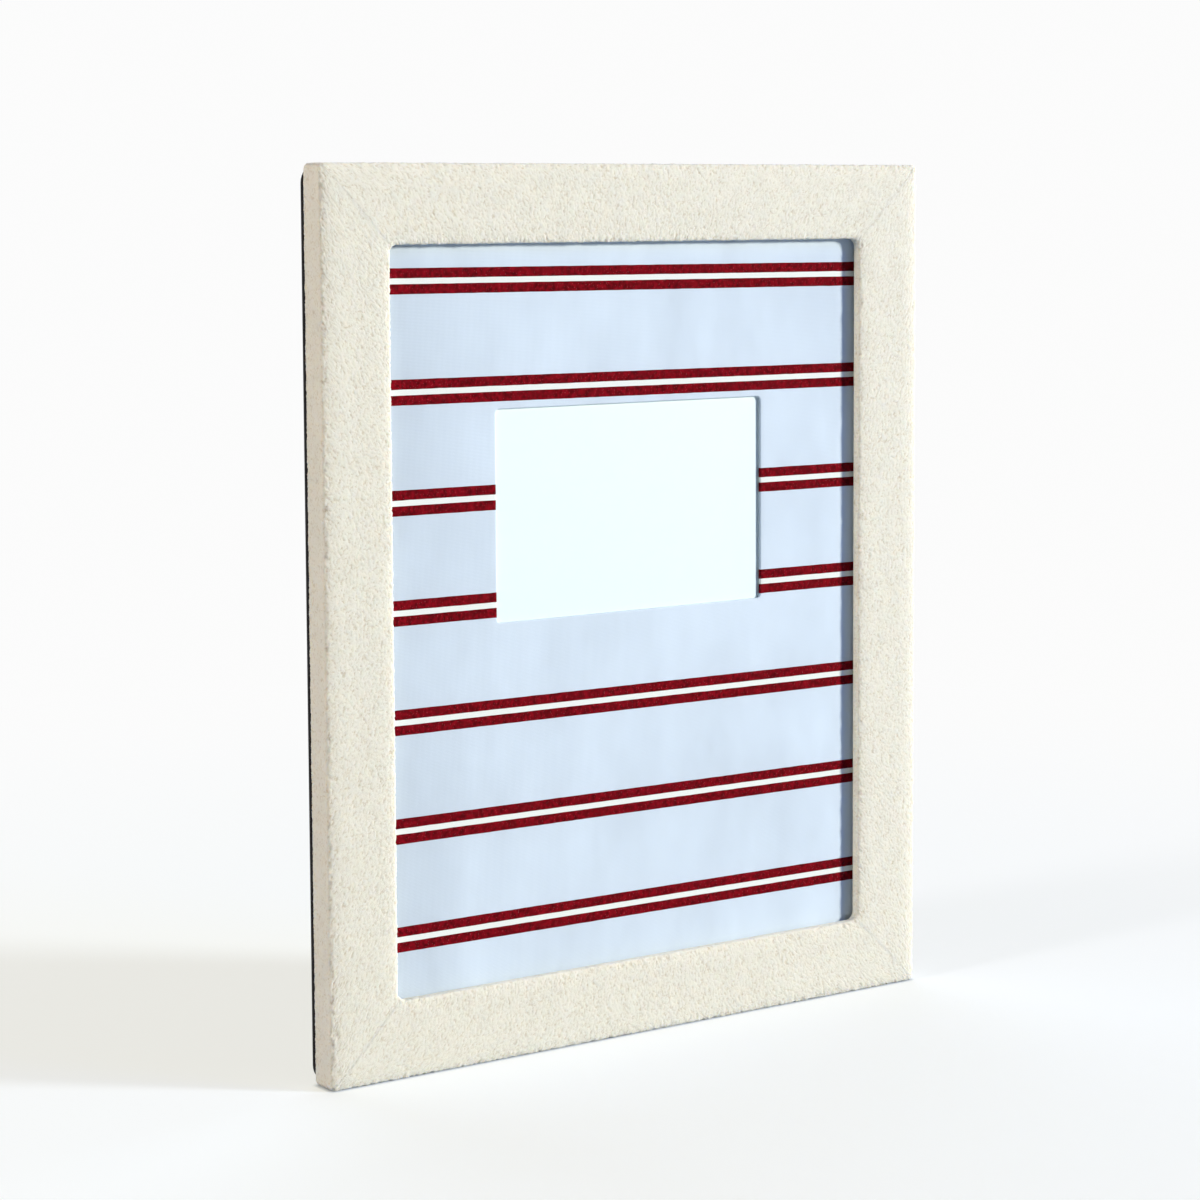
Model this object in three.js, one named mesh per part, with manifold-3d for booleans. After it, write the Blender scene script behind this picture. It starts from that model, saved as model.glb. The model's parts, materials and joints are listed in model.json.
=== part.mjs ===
// A photo frame: mitred rails wrapped in pile cloth, a striped cloth mat behind clear glazing,
// a backing board held by turn buttons, and a strut that folds out of the back like a door.
// Millimetres. X runs across the frame, Y from front to back, Z up from the surface it stands on.
// The origin is the middle of the frame's bottom edge, halfway through its depth.
import * as THREE from "three";
import { mergeVertices } from "three/addons/utils/BufferGeometryUtils.js";
import Module from "manifold-3d";

const wasm = await Module();
wasm.setup();

// Outer form, over the cloth
const outerWidth = 320;
const outerHeight = 388.5;
const railWidth = 33.8;
const frontEdgeWidth = 9;
const frontEdgeDepth = 6;
const openingEdgeRadius = 4.2;
const backEdgeRadius = 1.2;
const outerCornerRadius = 2;
const openingCornerRadius = 4.5;

// Layers from front to back, each a fit gap behind the one before, or a glue line where the mat is pasted up
const coverThickness = 1.5;
const lipThickness = 2.5;
const turnInThickness = 0.4;
const glazingThickness = 1;
const matClothThickness = 0.3;
const matBoardThickness = 0.8;
const printThickness = 0.3;
const fillerThickness = 5.6;
const backingThickness = 3;
const fitGap = 0.3;
const glueLine = 0.05;

// Rebate and back of the rails
const sheetOverlap = 6.5;
const rebateClearance = 0.6;
const backTurnWidth = 12;
const trimThickness = 2.2;
const trimInset = 0.1;
const trimCornerRadius = 4;

// Print and the window cut for it
const printWidth = 152.4;
const printHeight = 101.6;
const matOverlap = 4.5;
const matAboveWindow = 71.3;
const windowCornerRadius = 2;
const hemWidth = 10;

// V-shaped nails across the mitres, driven in from the back
const cornerNailInsets = [9, 18];
const cornerNailSpread = 4;
const cornerNailRise = 2;
const cornerNailThickness = 0.6;
const cornerNailDepth = 6;

// Turn buttons and their screws
const sideButtonSpacing = 190;
const endButtonSpacing = 150;
const buttonPivotSetback = 8;
const buttonHold = 6.5;
const buttonThickness = 1;
const buttonPivotRadius = 5;
const buttonTipRadius = 3.5;
const screwShankRadius = 1.4;
const screwShankLength = 6;
const screwHeadRadius = 3;
const screwHeadHeight = 1.2;

// Strut board, measured from its hinge axis and from the surface it stands on
const strutThickness = 3;
const strutReach = 104;
const strutTopReach = 30;
const strutAboveHinge = 11;
const strutHingeClearance = 2.4;
const strutToeLength = 36;
const strutToeHeight = 14;
const strutFootRelief = 6;
const strutCornerRadius = 5;

// Butt hinges of the strut, their middles above the backing board's lower edge
const lowerHingeRise = 51;
const upperHingeRise = 159;
const leafWidth = 16;
const leafHeight = 36;
const leafThickness = 0.8;
const knuckleRadius = 1.7;
const knuckleClearance = 0.2;
const pinRadius = 0.8;
const leafRivetMargin = 6.5;
const rivetShankRadius = 1.1;
const rivetHeadRadius = 2.2;
const rivetHeadHeight = 0.6;
const rivetGrip = 2;

// Ribbon stay between the backing board and the open strut
const ribbonWidth = 12;
const ribbonThickness = 0.5;
const ribbonReach = 60;
const ribbonTabLength = 12;
const ribbonRise = 13;

// Domed heads of screws, rivets and nails: shares of the head's height and radius
const headRimShare = 1 / 3;
const headDomeShare = 0.85;
const headDomeRadiusShare = 0.6;

// Sawtooth hanger on the back of the top rail
const hangerLength = 48;
const hangerWidth = 9;
const hangerThickness = 0.8;
const hangerInset = 13;
const hangerToothCount = 11;
const hangerToothDepth = 1.6;
const hangerNailMargin = 4;
const nailShankRadius = 0.9;
const nailShankLength = 7;
const nailHeadRadius = 2;
const nailHeadHeight = 0.6;

// Facets of round faces, and how near two vertices lie to count as one
const roundSteps = 12;
const arcSteps = 4;
const weldDistance = 1e-4;

// Depths of the layers, counted from the front of the cloth
const railFront = coverThickness + fitGap;
const lipBack = railFront + lipThickness;
const turnInFront = lipBack + fitGap;
const turnInBack = turnInFront + turnInThickness;
const glazingFront = turnInBack + fitGap;
const matFront = glazingFront + glazingThickness + fitGap;
const matBoardFront = matFront + matClothThickness + glueLine;
const hemFront = matBoardFront + matBoardThickness + glueLine;
const printFront = hemFront + matClothThickness + glueLine;
const fillerFront = printFront + printThickness + glueLine;
const backingFront = fillerFront + fillerThickness + fitGap;
const depth = backingFront + backingThickness;
const trimFront = depth - trimThickness;
const backTurnBack = trimFront - fitGap;
const backTurnFront = backTurnBack - turnInThickness;
const railBack = backTurnFront - fitGap;

// Insets from the outer edge of the cloth
const lipEdge = railWidth - coverThickness - fitGap;
const sheetInset = railWidth - sheetOverlap;
const rebateWall = sheetInset - rebateClearance;
const buttonPivotInset = rebateWall - buttonPivotSetback;
const buttonReach = buttonPivotSetback + rebateClearance + buttonHold;

// Window in the mat
const windowWidth = printWidth - 2 * matOverlap;
const windowHeight = printHeight - 2 * matOverlap;
const windowTop = outerHeight - railWidth - matAboveWindow;
const windowCentre = windowTop - windowHeight / 2;

// Strut hinge axis, upright, clear of the back by the knuckles
const axisStandOff = knuckleRadius + knuckleClearance;
const hingeAxisDepth = depth + axisStandOff;
const lowerHingeHeight = sheetInset + lowerHingeRise;
const upperHingeHeight = sheetInset + upperHingeRise;
const strutHeight = upperHingeHeight + leafHeight / 2 + strutAboveHinge;
const ribbonHeight = sheetInset + ribbonRise;
const leafRivetReach = leafWidth - leafRivetMargin;
const leafRivetSpacing = leafHeight - 2 * leafRivetMargin;
const hangerNailSpacing = hangerLength - 2 * hangerNailMargin;

// Finishes
const pileCloth = { color: 0xf0ebdf, roughness: 0.95 };
const fibreboard = { color: 0xb08d62, roughness: 0.85 };
const stripedCotton = { color: 0xd6e6f4, roughness: 0.9 };
const whiteBoard = { color: 0xf4f4f0, roughness: 0.8 };
const printPaper = { color: 0xf8fbfb, roughness: 0.5 };
const greyBoard = { color: 0x9a948a, roughness: 0.9 };
const clearAcrylic = { color: 0xffffff, roughness: 0.05, opacity: 0.2, transparent: true };
const blackBoard = { color: 0x0c0b0b, roughness: 0.9 };
const nickelSteel = { color: 0xbfbdb6, roughness: 0.35, metalness: 1 };
const blackRibbon = { color: 0x111013, roughness: 0.5 };

const part = new THREE.Group();

function addMesh(group, name, geometry, finish) {
  const mesh = new THREE.Mesh(geometry, new THREE.MeshStandardMaterial(finish));
  mesh.name = name;
  group.add(mesh);
  return mesh;
}

// Closed solid of a geometry, with its shared vertices merged.
function solidOf(geometry) {
  const bare = geometry.clone();
  bare.deleteAttribute("normal");
  bare.deleteAttribute("uv");
  const merged = mergeVertices(bare, weldDistance);
  const mesh = new wasm.Mesh({
    numProp: 3,
    vertProperties: merged.attributes.position.array,
    triVerts: new Uint32Array(merged.index.array),
  });
  return new wasm.Manifold(mesh);
}

function geometryOf(solid) {
  const mesh = solid.getMesh();
  const geometry = new THREE.BufferGeometry();
  geometry.setAttribute("position", new THREE.BufferAttribute(mesh.vertProperties, 3));
  geometry.setIndex(new THREE.BufferAttribute(mesh.triVerts, 1));
  return geometry;
}

function join(geometries) {
  return geometryOf(geometries.map(solidOf).reduce((sum, next) => sum.add(next)));
}

function cut(geometry, tools) {
  return geometryOf(tools.map(solidOf).reduce((rest, tool) => rest.subtract(tool), solidOf(geometry)));
}

// Y of a depth counted from the front of the cloth.
function yAt(layerDepth) {
  return layerDepth - depth / 2;
}

// Plate of an outline drawn in X and Z, from one depth back by its thickness.
function plate(outline, front, thickness) {
  const geometry = new THREE.ExtrudeGeometry(outline, {
    depth: thickness,
    bevelEnabled: false,
    curveSegments: arcSteps,
  });
  return geometry.rotateX(Math.PI / 2).translate(0, yAt(front + thickness), 0);
}

// Traces a rectangle with round corners into a shape or a hole.
function traceRectangle(path, left, right, low, high, radius) {
  path.moveTo(left + radius, low);
  path.lineTo(right - radius, low);
  path.absarc(right - radius, low + radius, radius, -Math.PI / 2, 0);
  path.lineTo(right, high - radius);
  path.absarc(right - radius, high - radius, radius, 0, Math.PI / 2);
  path.lineTo(left + radius, high);
  path.absarc(left + radius, high - radius, radius, Math.PI / 2, Math.PI);
  path.lineTo(left, low + radius);
  path.absarc(left + radius, low + radius, radius, Math.PI, 1.5 * Math.PI);
  return path;
}

// Rectangle that follows the frame's outline, a given distance inside it.
function traceInset(path, inset, radius) {
  const half = outerWidth / 2 - inset;
  return traceRectangle(path, -half, half, inset, outerHeight - inset, radius);
}

// The window, or a larger rectangle around it.
function traceWindow(path, margin) {
  const half = windowWidth / 2 + margin;
  const low = windowTop - windowHeight - margin;
  return traceRectangle(path, -half, half, low, windowTop + margin, windowCornerRadius + margin);
}

function roundHole(x, y, radius) {
  const ring = Array.from({ length: roundSteps }, (_, i) => {
    const angle = (2 * Math.PI * i) / roundSteps;
    return new THREE.Vector2(x + radius * Math.cos(angle), y + radius * Math.sin(angle));
  });
  return new THREE.Path(ring);
}

// Polygon of [x, y, radius] corners, each rounded off by its radius.
function roundedPolygon(corners) {
  const points = corners.map(([x, y]) => new THREE.Vector2(x, y));
  const shape = new THREE.Shape();
  points.forEach((corner, i) => {
    const before = points[(i + points.length - 1) % points.length];
    const after = points[(i + 1) % points.length];
    const radius = corners[i][2];
    const start = corner.clone().lerp(before, radius / corner.distanceTo(before));
    const end = corner.clone().lerp(after, radius / corner.distanceTo(after));
    if (i === 0) shape.moveTo(start.x, start.y);
    else shape.lineTo(start.x, start.y);
    shape.quadraticCurveTo(corner.x, corner.y, end.x, end.y);
  });
  shape.closePath();
  return shape;
}

// Outline of a thin strip that follows a line of points, for sheet goods seen edge on.
function stripOutline(points, thickness) {
  const side = (sign) =>
    points.map((point, i) => {
      const back = i > 0 ? point.clone().sub(points[i - 1]).normalize() : null;
      const ahead = i < points.length - 1 ? points[i + 1].clone().sub(point).normalize() : null;
      const along = (back || ahead).clone().add(ahead || back).normalize();
      const normal = new THREE.Vector2(-along.y, along.x);
      const lean = along.dot(back || ahead);
      return point.clone().addScaledVector(normal, (sign * thickness) / 2 / lean);
    });
  return new THREE.Shape([...side(-1), ...side(1).reverse()]);
}

// Points of an arc in a section, angles in quarter turns. Its radius may differ in depth.
function sectionArc(centreInset, centreDepth, radius, fromQuarter, toQuarter, depthRadius = radius) {
  return Array.from({ length: arcSteps + 1 }, (_, i) => {
    const angle = ((fromQuarter + ((toQuarter - fromQuarter) * i) / arcSteps) * Math.PI) / 2;
    return new THREE.Vector2(
      centreInset + radius * Math.cos(angle),
      centreDepth + depthRadius * Math.sin(angle),
    );
  });
}

// A pin with a domed head: the head stands on y = 0 and the shank runs down from it.
function headedPin(headRadius, headHeight, shankRadius, shankLength) {
  const profile = [
    new THREE.Vector2(0, -shankLength),
    new THREE.Vector2(shankRadius, -shankLength),
    new THREE.Vector2(shankRadius, 0),
    new THREE.Vector2(headRadius, 0),
    new THREE.Vector2(headRadius, headHeight * headRimShare),
    new THREE.Vector2(headRadius * headDomeRadiusShare, headHeight * headDomeShare),
    new THREE.Vector2(0, headHeight),
  ];
  return new THREE.LatheGeometry(profile, roundSteps);
}

// Corner radius of the cloth at an inset: even thickness outside, easing to the round opening.
function coverCornerRadius(inset) {
  const tightRadius = Math.max(outerCornerRadius - coverThickness, fitGap);
  if (inset < coverThickness) {
    return THREE.MathUtils.lerp(outerCornerRadius, tightRadius, inset / coverThickness);
  }
  const share = (inset - coverThickness) / (railWidth - coverThickness);
  return THREE.MathUtils.lerp(tightRadius, openingCornerRadius, share);
}

// Section of the cover: back turn, side, front, opening wall and turn-in, then its inner face.
function coverSection() {
  const innerWidth = Math.max(frontEdgeWidth - coverThickness, fitGap);
  const innerDepth = Math.max(frontEdgeDepth - coverThickness, fitGap);
  const openingInner = Math.max(openingEdgeRadius - coverThickness, fitGap);
  const openingCentre = railWidth - openingEdgeRadius;
  return [
    new THREE.Vector2(backTurnWidth, backTurnBack),
    ...sectionArc(backEdgeRadius, backTurnBack - backEdgeRadius, backEdgeRadius, 1, 2),
    ...sectionArc(frontEdgeWidth, frontEdgeDepth, frontEdgeWidth, 2, 3, frontEdgeDepth),
    ...sectionArc(openingCentre, openingEdgeRadius, openingEdgeRadius, 3, 4),
    new THREE.Vector2(railWidth, turnInBack),
    new THREE.Vector2(sheetInset, turnInBack),
    new THREE.Vector2(sheetInset, turnInFront),
    new THREE.Vector2(railWidth - coverThickness, turnInFront),
    ...sectionArc(
      railWidth - coverThickness - openingInner,
      coverThickness + openingInner,
      openingInner,
      4,
      3,
    ),
    ...sectionArc(coverThickness + innerWidth, coverThickness + innerDepth, innerWidth, 3, 2, innerDepth),
    new THREE.Vector2(coverThickness, backTurnFront),
    new THREE.Vector2(backTurnWidth, backTurnFront),
  ];
}

// The cover's section carried round the frame, its corners rounded by the inset of each point.
function coverGeometry() {
  const section = coverSection();
  const positions = [];
  const indices = [];
  const cornerTurns = [3, 0, 1, 2];
  const ringCount = cornerTurns.length * (arcSteps + 1);
  for (const { x: inset, y: layerDepth } of section) {
    const radius = coverCornerRadius(inset);
    const halfX = outerWidth / 2 - inset - radius;
    const halfZ = outerHeight / 2 - inset - radius;
    cornerTurns.forEach((turn) => {
      const signX = turn === 0 || turn === 3 ? 1 : -1;
      const signZ = turn < 2 ? 1 : -1;
      for (const point of sectionArc(signX * halfX, signZ * halfZ, radius, turn, turn + 1)) {
        positions.push(point.x, yAt(layerDepth), outerHeight / 2 + point.y);
      }
    });
  }
  section.forEach((_, i) => {
    const next = (i + 1) % section.length;
    for (let j = 0; j < ringCount; j += 1) {
      const ahead = (j + 1) % ringCount;
      const corners = [
        i * ringCount + j,
        i * ringCount + ahead,
        next * ringCount + ahead,
        next * ringCount + j,
      ];
      indices.push(corners[0], corners[1], corners[2], corners[0], corners[2], corners[3]);
    }
  });
  const geometry = new THREE.BufferGeometry();
  geometry.setAttribute("position", new THREE.Float32BufferAttribute(positions, 3));
  geometry.setIndex(indices);
  return geometry;
}

// Outline of a V-shaped nail, its point towards +X, grown on all sides by a margin.
function cornerNailOutline(margin) {
  const slope = cornerNailRise / cornerNailSpread;
  const stretch = margin * Math.hypot(1, slope);
  const spread = cornerNailSpread + margin;
  const tail = slope * spread;
  const back = cornerNailThickness + stretch;
  return new THREE.Shape([
    new THREE.Vector2(stretch - tail, -spread),
    new THREE.Vector2(stretch, 0),
    new THREE.Vector2(stretch - tail, spread),
    new THREE.Vector2(-back - tail, spread),
    new THREE.Vector2(-back, 0),
    new THREE.Vector2(-back - tail, -spread),
  ]);
}

// V-nail, or the pocket for it, that points along a corner's mitre from an outer corner of the frame.
function cornerNail(cornerX, cornerZ, turn, inset, margin) {
  const tip = railBack - cornerNailDepth - margin;
  const geometry = plate(cornerNailOutline(margin), tip, cornerNailDepth + 2 * margin);
  const reach = inset * Math.SQRT2;
  geometry.rotateY(turn);
  return geometry.translate(cornerX + reach * Math.cos(turn), 0, cornerZ - reach * Math.sin(turn));
}

// Section of a bare rail: round front edges under the cloth, and the rebate behind the lip.
function railOutline() {
  const innerWidth = Math.max(frontEdgeWidth - railFront, fitGap);
  const innerDepth = Math.max(frontEdgeDepth - railFront, fitGap);
  const lipInner = Math.min(Math.max(openingEdgeRadius - railFront, fitGap), lipThickness);
  return new THREE.Shape([
    new THREE.Vector2(railFront, railBack),
    ...sectionArc(railFront + innerWidth, railFront + innerDepth, innerWidth, 2, 3, innerDepth),
    ...sectionArc(lipEdge - lipInner, railFront + lipInner, lipInner, 3, 4),
    new THREE.Vector2(lipEdge, lipBack),
    new THREE.Vector2(rebateWall, lipBack),
    new THREE.Vector2(rebateWall, railBack),
  ]);
}

// Bar with mitred ends along X, its outer edge at z = 0, with pockets for nails and pilot holes.
function railGeometry(span, pilotHoles) {
  const bar = new THREE.ExtrudeGeometry(railOutline(), { depth: 1, bevelEnabled: false });
  const place = bar.attributes.position;
  for (let i = 0; i < place.count; i += 1) {
    const inset = place.getX(i);
    const end = 1 - 2 * place.getZ(i);
    place.setXYZ(i, end * (span / 2 - inset - fitGap / 2), yAt(place.getY(i)), inset);
  }
  const pockets = cornerNailInsets.flatMap((inset) => [
    cornerNail(-span / 2, 0, -Math.PI / 4, inset, fitGap),
    cornerNail(span / 2, 0, (-3 * Math.PI) / 4, inset, fitGap),
  ]);
  const holes = pilotHoles.map(({ along, inset, radius, length }) => {
    const tool = new THREE.CylinderGeometry(radius, radius, 2 * length, roundSteps);
    return tool.translate(along, yAt(railBack), inset);
  });
  return cut(bar, [...pockets, ...holes]);
}

// Flat stamped button, its pivot at the origin and its tongue along +Z.
function buttonGeometry() {
  const outline = new THREE.Shape();
  const tipCentre = buttonReach - buttonTipRadius;
  outline.absarc(0, 0, buttonPivotRadius, Math.PI, 2 * Math.PI);
  outline.absarc(0, tipCentre, buttonTipRadius, 0, Math.PI);
  outline.holes.push(roundHole(0, 0, screwShankRadius + fitGap));
  return plate(outline, depth + fitGap, buttonThickness);
}

// Hanger strip with teeth along its +Z edge, centred on the origin.
function hangerGeometry() {
  const half = hangerLength / 2;
  const toothRun = hangerNailSpacing - 2 * (nailHeadRadius + fitGap);
  const toothPitch = toothRun / hangerToothCount;
  const teeth = Array.from({ length: 2 * hangerToothCount + 1 }, (_, i) => {
    const rise = i % 2 ? hangerToothDepth : 0;
    return new THREE.Vector2(toothRun / 2 - (i * toothPitch) / 2, hangerWidth / 2 - rise);
  });
  const outline = new THREE.Shape([
    new THREE.Vector2(-half, -hangerWidth / 2),
    new THREE.Vector2(half, -hangerWidth / 2),
    new THREE.Vector2(half, hangerWidth / 2),
    ...teeth,
    new THREE.Vector2(-half, hangerWidth / 2),
  ]);
  for (const sign of [-1, 1]) {
    outline.holes.push(roundHole((sign * hangerNailSpacing) / 2, 0, nailShankRadius + fitGap));
  }
  return plate(outline, depth + fitGap, hangerThickness);
}

// The four sides. Each has its own group: X along the rail, +Z inwards from the outer edge.
const level = { span: outerWidth, buttonSpacing: endButtonSpacing, x: 0 };
const upright = { span: outerHeight, buttonSpacing: sideButtonSpacing, z: outerHeight / 2 };
const sides = [
  { ...level, name: "bottom", quarter: 0, z: 0, ends: ["left", "right"] },
  { ...upright, name: "right", quarter: -1, x: outerWidth / 2, ends: ["lower", "upper"] },
  { ...level, name: "top", quarter: 2, z: outerHeight, ends: ["right", "left"] },
  { ...upright, name: "left", quarter: 1, x: -outerWidth / 2, ends: ["upper", "lower"] },
];
const trimHoles = [];

function buildSide(side) {
  const group = new THREE.Group();
  group.position.set(side.x, 0, side.z);
  group.rotation.y = (side.quarter * Math.PI) / 2;
  part.add(group);
  const screwRadius = screwShankRadius + fitGap;
  const screwSeat = depth + 2 * fitGap + buttonThickness;
  const screwLength = screwSeat - railBack + screwShankLength;
  const pilotHoles = [];
  side.ends.forEach((end, i) => {
    const along = (i - 0.5) * side.buttonSpacing;
    const length = screwShankLength + fitGap;
    pilotHoles.push({ along, inset: buttonPivotInset, radius: screwRadius, length });
    const button = addMesh(group, `turn_button_${side.name}_${end}`, buttonGeometry(), nickelSteel);
    button.position.set(along, 0, buttonPivotInset);
    const screw = headedPin(screwHeadRadius, screwHeadHeight, screwShankRadius, screwLength);
    addMesh(group, `button_screw_${side.name}_${end}`, screw, nickelSteel).position.set(
      along,
      yAt(screwSeat),
      buttonPivotInset,
    );
  });
  if (side.name === "top") {
    const nailSeat = depth + 2 * fitGap + hangerThickness;
    const nailLength = nailSeat - railBack + nailShankLength;
    const hanger = addMesh(group, "sawtooth_hanger", hangerGeometry(), nickelSteel);
    hanger.position.z = hangerInset;
    side.ends.forEach((end, i) => {
      const along = (i - 0.5) * hangerNailSpacing;
      const radius = nailShankRadius + fitGap;
      pilotHoles.push({ along, inset: hangerInset, radius, length: nailShankLength + fitGap });
      const nail = headedPin(nailHeadRadius, nailHeadHeight, nailShankRadius, nailLength);
      const mesh = addMesh(group, `hanger_nail_${end}`, nail, nickelSteel);
      mesh.position.set(along, yAt(nailSeat), hangerInset);
    });
  }
  addMesh(group, `rail_${side.name}`, railGeometry(side.span, pilotHoles), fibreboard);
  group.updateMatrixWorld(true);
  for (const { along, inset, radius } of pilotHoles) {
    const place = group.localToWorld(new THREE.Vector3(along, 0, inset));
    trimHoles.push(roundHole(place.x, place.z, radius));
  }
}

function buildCornerNails() {
  const corners = [
    { name: "bottom_left", x: -outerWidth / 2, z: 0, turn: -Math.PI / 4 },
    { name: "bottom_right", x: outerWidth / 2, z: 0, turn: (-3 * Math.PI) / 4 },
    { name: "top_right", x: outerWidth / 2, z: outerHeight, turn: (3 * Math.PI) / 4 },
    { name: "top_left", x: -outerWidth / 2, z: outerHeight, turn: Math.PI / 4 },
  ];
  for (const corner of corners) {
    cornerNailInsets.forEach((inset, i) => {
      const geometry = cornerNail(corner.x, corner.z, corner.turn, inset, 0);
      addMesh(part, `corner_nail_${corner.name}_${i + 1}`, geometry, nickelSteel);
    });
  }
}

function buildTrim() {
  const outline = traceInset(new THREE.Shape(), trimInset, trimCornerRadius);
  outline.holes.push(traceInset(new THREE.Path(), rebateWall, rebateClearance), ...trimHoles);
  addMesh(part, "back_trim", plate(outline, trimFront, trimThickness), blackBoard);
}

function sheetOutline() {
  return traceInset(new THREE.Shape(), sheetInset, rebateClearance);
}

// Glazing, mat, print and filler, in the order that they lie in the rebate.
function buildPictureStack() {
  addMesh(part, "glazing_sheet", plate(sheetOutline(), glazingFront, glazingThickness), clearAcrylic);

  const facing = sheetOutline();
  facing.holes.push(traceWindow(new THREE.Path(), 0));
  const flange = traceWindow(new THREE.Shape(), matClothThickness);
  flange.holes.push(traceWindow(new THREE.Path(), 0));
  const hem = traceWindow(new THREE.Shape(), hemWidth);
  hem.holes.push(traceWindow(new THREE.Path(), 0));
  const hemBack = hemFront + matClothThickness;
  const cloth = join([
    plate(facing, matFront, matClothThickness),
    plate(flange, matFront, hemBack - matFront),
    plate(hem, hemFront, matClothThickness),
  ]);
  addMesh(part, "mat_cloth", cloth, stripedCotton);

  const board = sheetOutline();
  board.holes.push(traceWindow(new THREE.Path(), matClothThickness + fitGap));
  addMesh(part, "mat_board", plate(board, matBoardFront, matBoardThickness), whiteBoard);

  const print = new THREE.BoxGeometry(printWidth, printThickness, printHeight);
  const printMiddle = yAt(printFront + printThickness / 2);
  addMesh(part, "photo_print", print, printPaper).position.set(0, printMiddle, windowCentre);

  addMesh(part, "filler_board", plate(sheetOutline(), fillerFront, fillerThickness), greyBoard);
}

// Heights of a leaf's two rivets about the middle of its hinge.
const leafRivetHeights = [-leafRivetSpacing / 2, leafRivetSpacing / 2];
const ribbonRivetReach = ribbonReach + ribbonTabLength / 2;

// Reach from the hinge axis and height of each rivet in the backing board, and the same in the strut.
function rivetPlaces() {
  const leafPlaces = [lowerHingeHeight, upperHingeHeight].flatMap((height) =>
    leafRivetHeights.map((offset) => ({ reach: leafRivetReach, height: height + offset })),
  );
  return [...leafPlaces, { reach: ribbonRivetReach, height: ribbonHeight }];
}

function buildBacking() {
  const outline = sheetOutline();
  const radius = rivetShankRadius + fitGap;
  outline.holes.push(...rivetPlaces().map(({ reach, height }) => roundHole(reach, height, radius)));
  addMesh(part, "backing_board", plate(outline, backingFront, backingThickness), blackBoard);
}

// Leaf on the X axis side of the hinge axis, with knuckles at the heights given as [low, high].
function leafGeometry(knuckles, relief) {
  const half = leafHeight / 2;
  const reliefDepth = knuckleRadius + 2 * fitGap;
  const outline = new THREE.Shape([
    new THREE.Vector2(knuckles[0][0] > -half ? reliefDepth : 0, -half),
    new THREE.Vector2(leafWidth, -half),
    new THREE.Vector2(leafWidth, half),
    new THREE.Vector2(knuckles.at(-1)[1] < half ? reliefDepth : 0, half),
    ...relief.map(([x, z]) => new THREE.Vector2(x ? reliefDepth : 0, z)),
  ]);
  for (const height of leafRivetHeights) {
    outline.holes.push(roundHole(leafRivetReach, height, rivetShankRadius + fitGap));
  }
  const sheet = plate(outline, depth, leafThickness).translate(0, -yAt(hingeAxisDepth), 0);
  const barrels = knuckles.map(([low, high]) => {
    const barrel = new THREE.CylinderGeometry(knuckleRadius, knuckleRadius, high - low, roundSteps);
    return barrel.rotateX(Math.PI / 2).translate(0, 0, (low + high) / 2);
  });
  const boreRadius = pinRadius + fitGap;
  const bore = new THREE.CylinderGeometry(boreRadius, boreRadius, 2 * leafHeight, roundSteps);
  return cut(join([sheet, ...barrels]), [bore.rotateX(Math.PI / 2)]);
}

function leafRivet(gripped) {
  return headedPin(rivetHeadRadius, rivetHeadHeight, rivetShankRadius, gripped + fitGap + rivetGrip);
}

// Turns what is fixed to the backing board into what is fixed to the open strut: X and Y change places.
const ontoStrut = new THREE.Quaternion().setFromAxisAngle(
  new THREE.Vector3(1, 1, 0).normalize(),
  Math.PI,
);

function buildHinge(name, height) {
  const group = new THREE.Group();
  group.position.set(0, yAt(hingeAxisDepth), height);
  part.add(group);
  const strutSide = new THREE.Group();
  strutSide.quaternion.copy(ontoStrut);
  group.add(strutSide);
  const half = leafHeight / 2;
  const third = leafHeight / 6;
  const outerKnuckles = [
    [-half, -third - fitGap / 2],
    [third + fitGap / 2, half],
  ];
  const innerKnuckle = [[-third + fitGap / 2, third - fitGap / 2]];
  const innerRelief = [
    [0, third],
    [1, third],
    [1, -third],
    [0, -third],
  ];
  const outerRelief = innerRelief.map(([x, z]) => [1 - x, z]);
  addMesh(group, `${name}_fixed_leaf`, leafGeometry(outerKnuckles, innerRelief), nickelSteel);
  addMesh(strutSide, `${name}_strut_leaf`, leafGeometry(innerKnuckle, outerRelief), nickelSteel);
  const pin = new THREE.CylinderGeometry(pinRadius, pinRadius, leafHeight, roundSteps);
  addMesh(group, `${name}_pin`, pin.rotateX(Math.PI / 2), nickelSteel);
  const seat = leafThickness + fitGap - axisStandOff;
  leafRivetHeights.forEach((offset, i) => {
    for (const [owner, label] of [[group, "fixed"], [strutSide, "strut"]]) {
      const rivetName = `${name}_${label}_rivet_${i + 1}`;
      const rivet = addMesh(owner, rivetName, leafRivet(leafThickness), nickelSteel);
      rivet.position.set(leafRivetReach, seat, offset);
    }
  });
}

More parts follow.
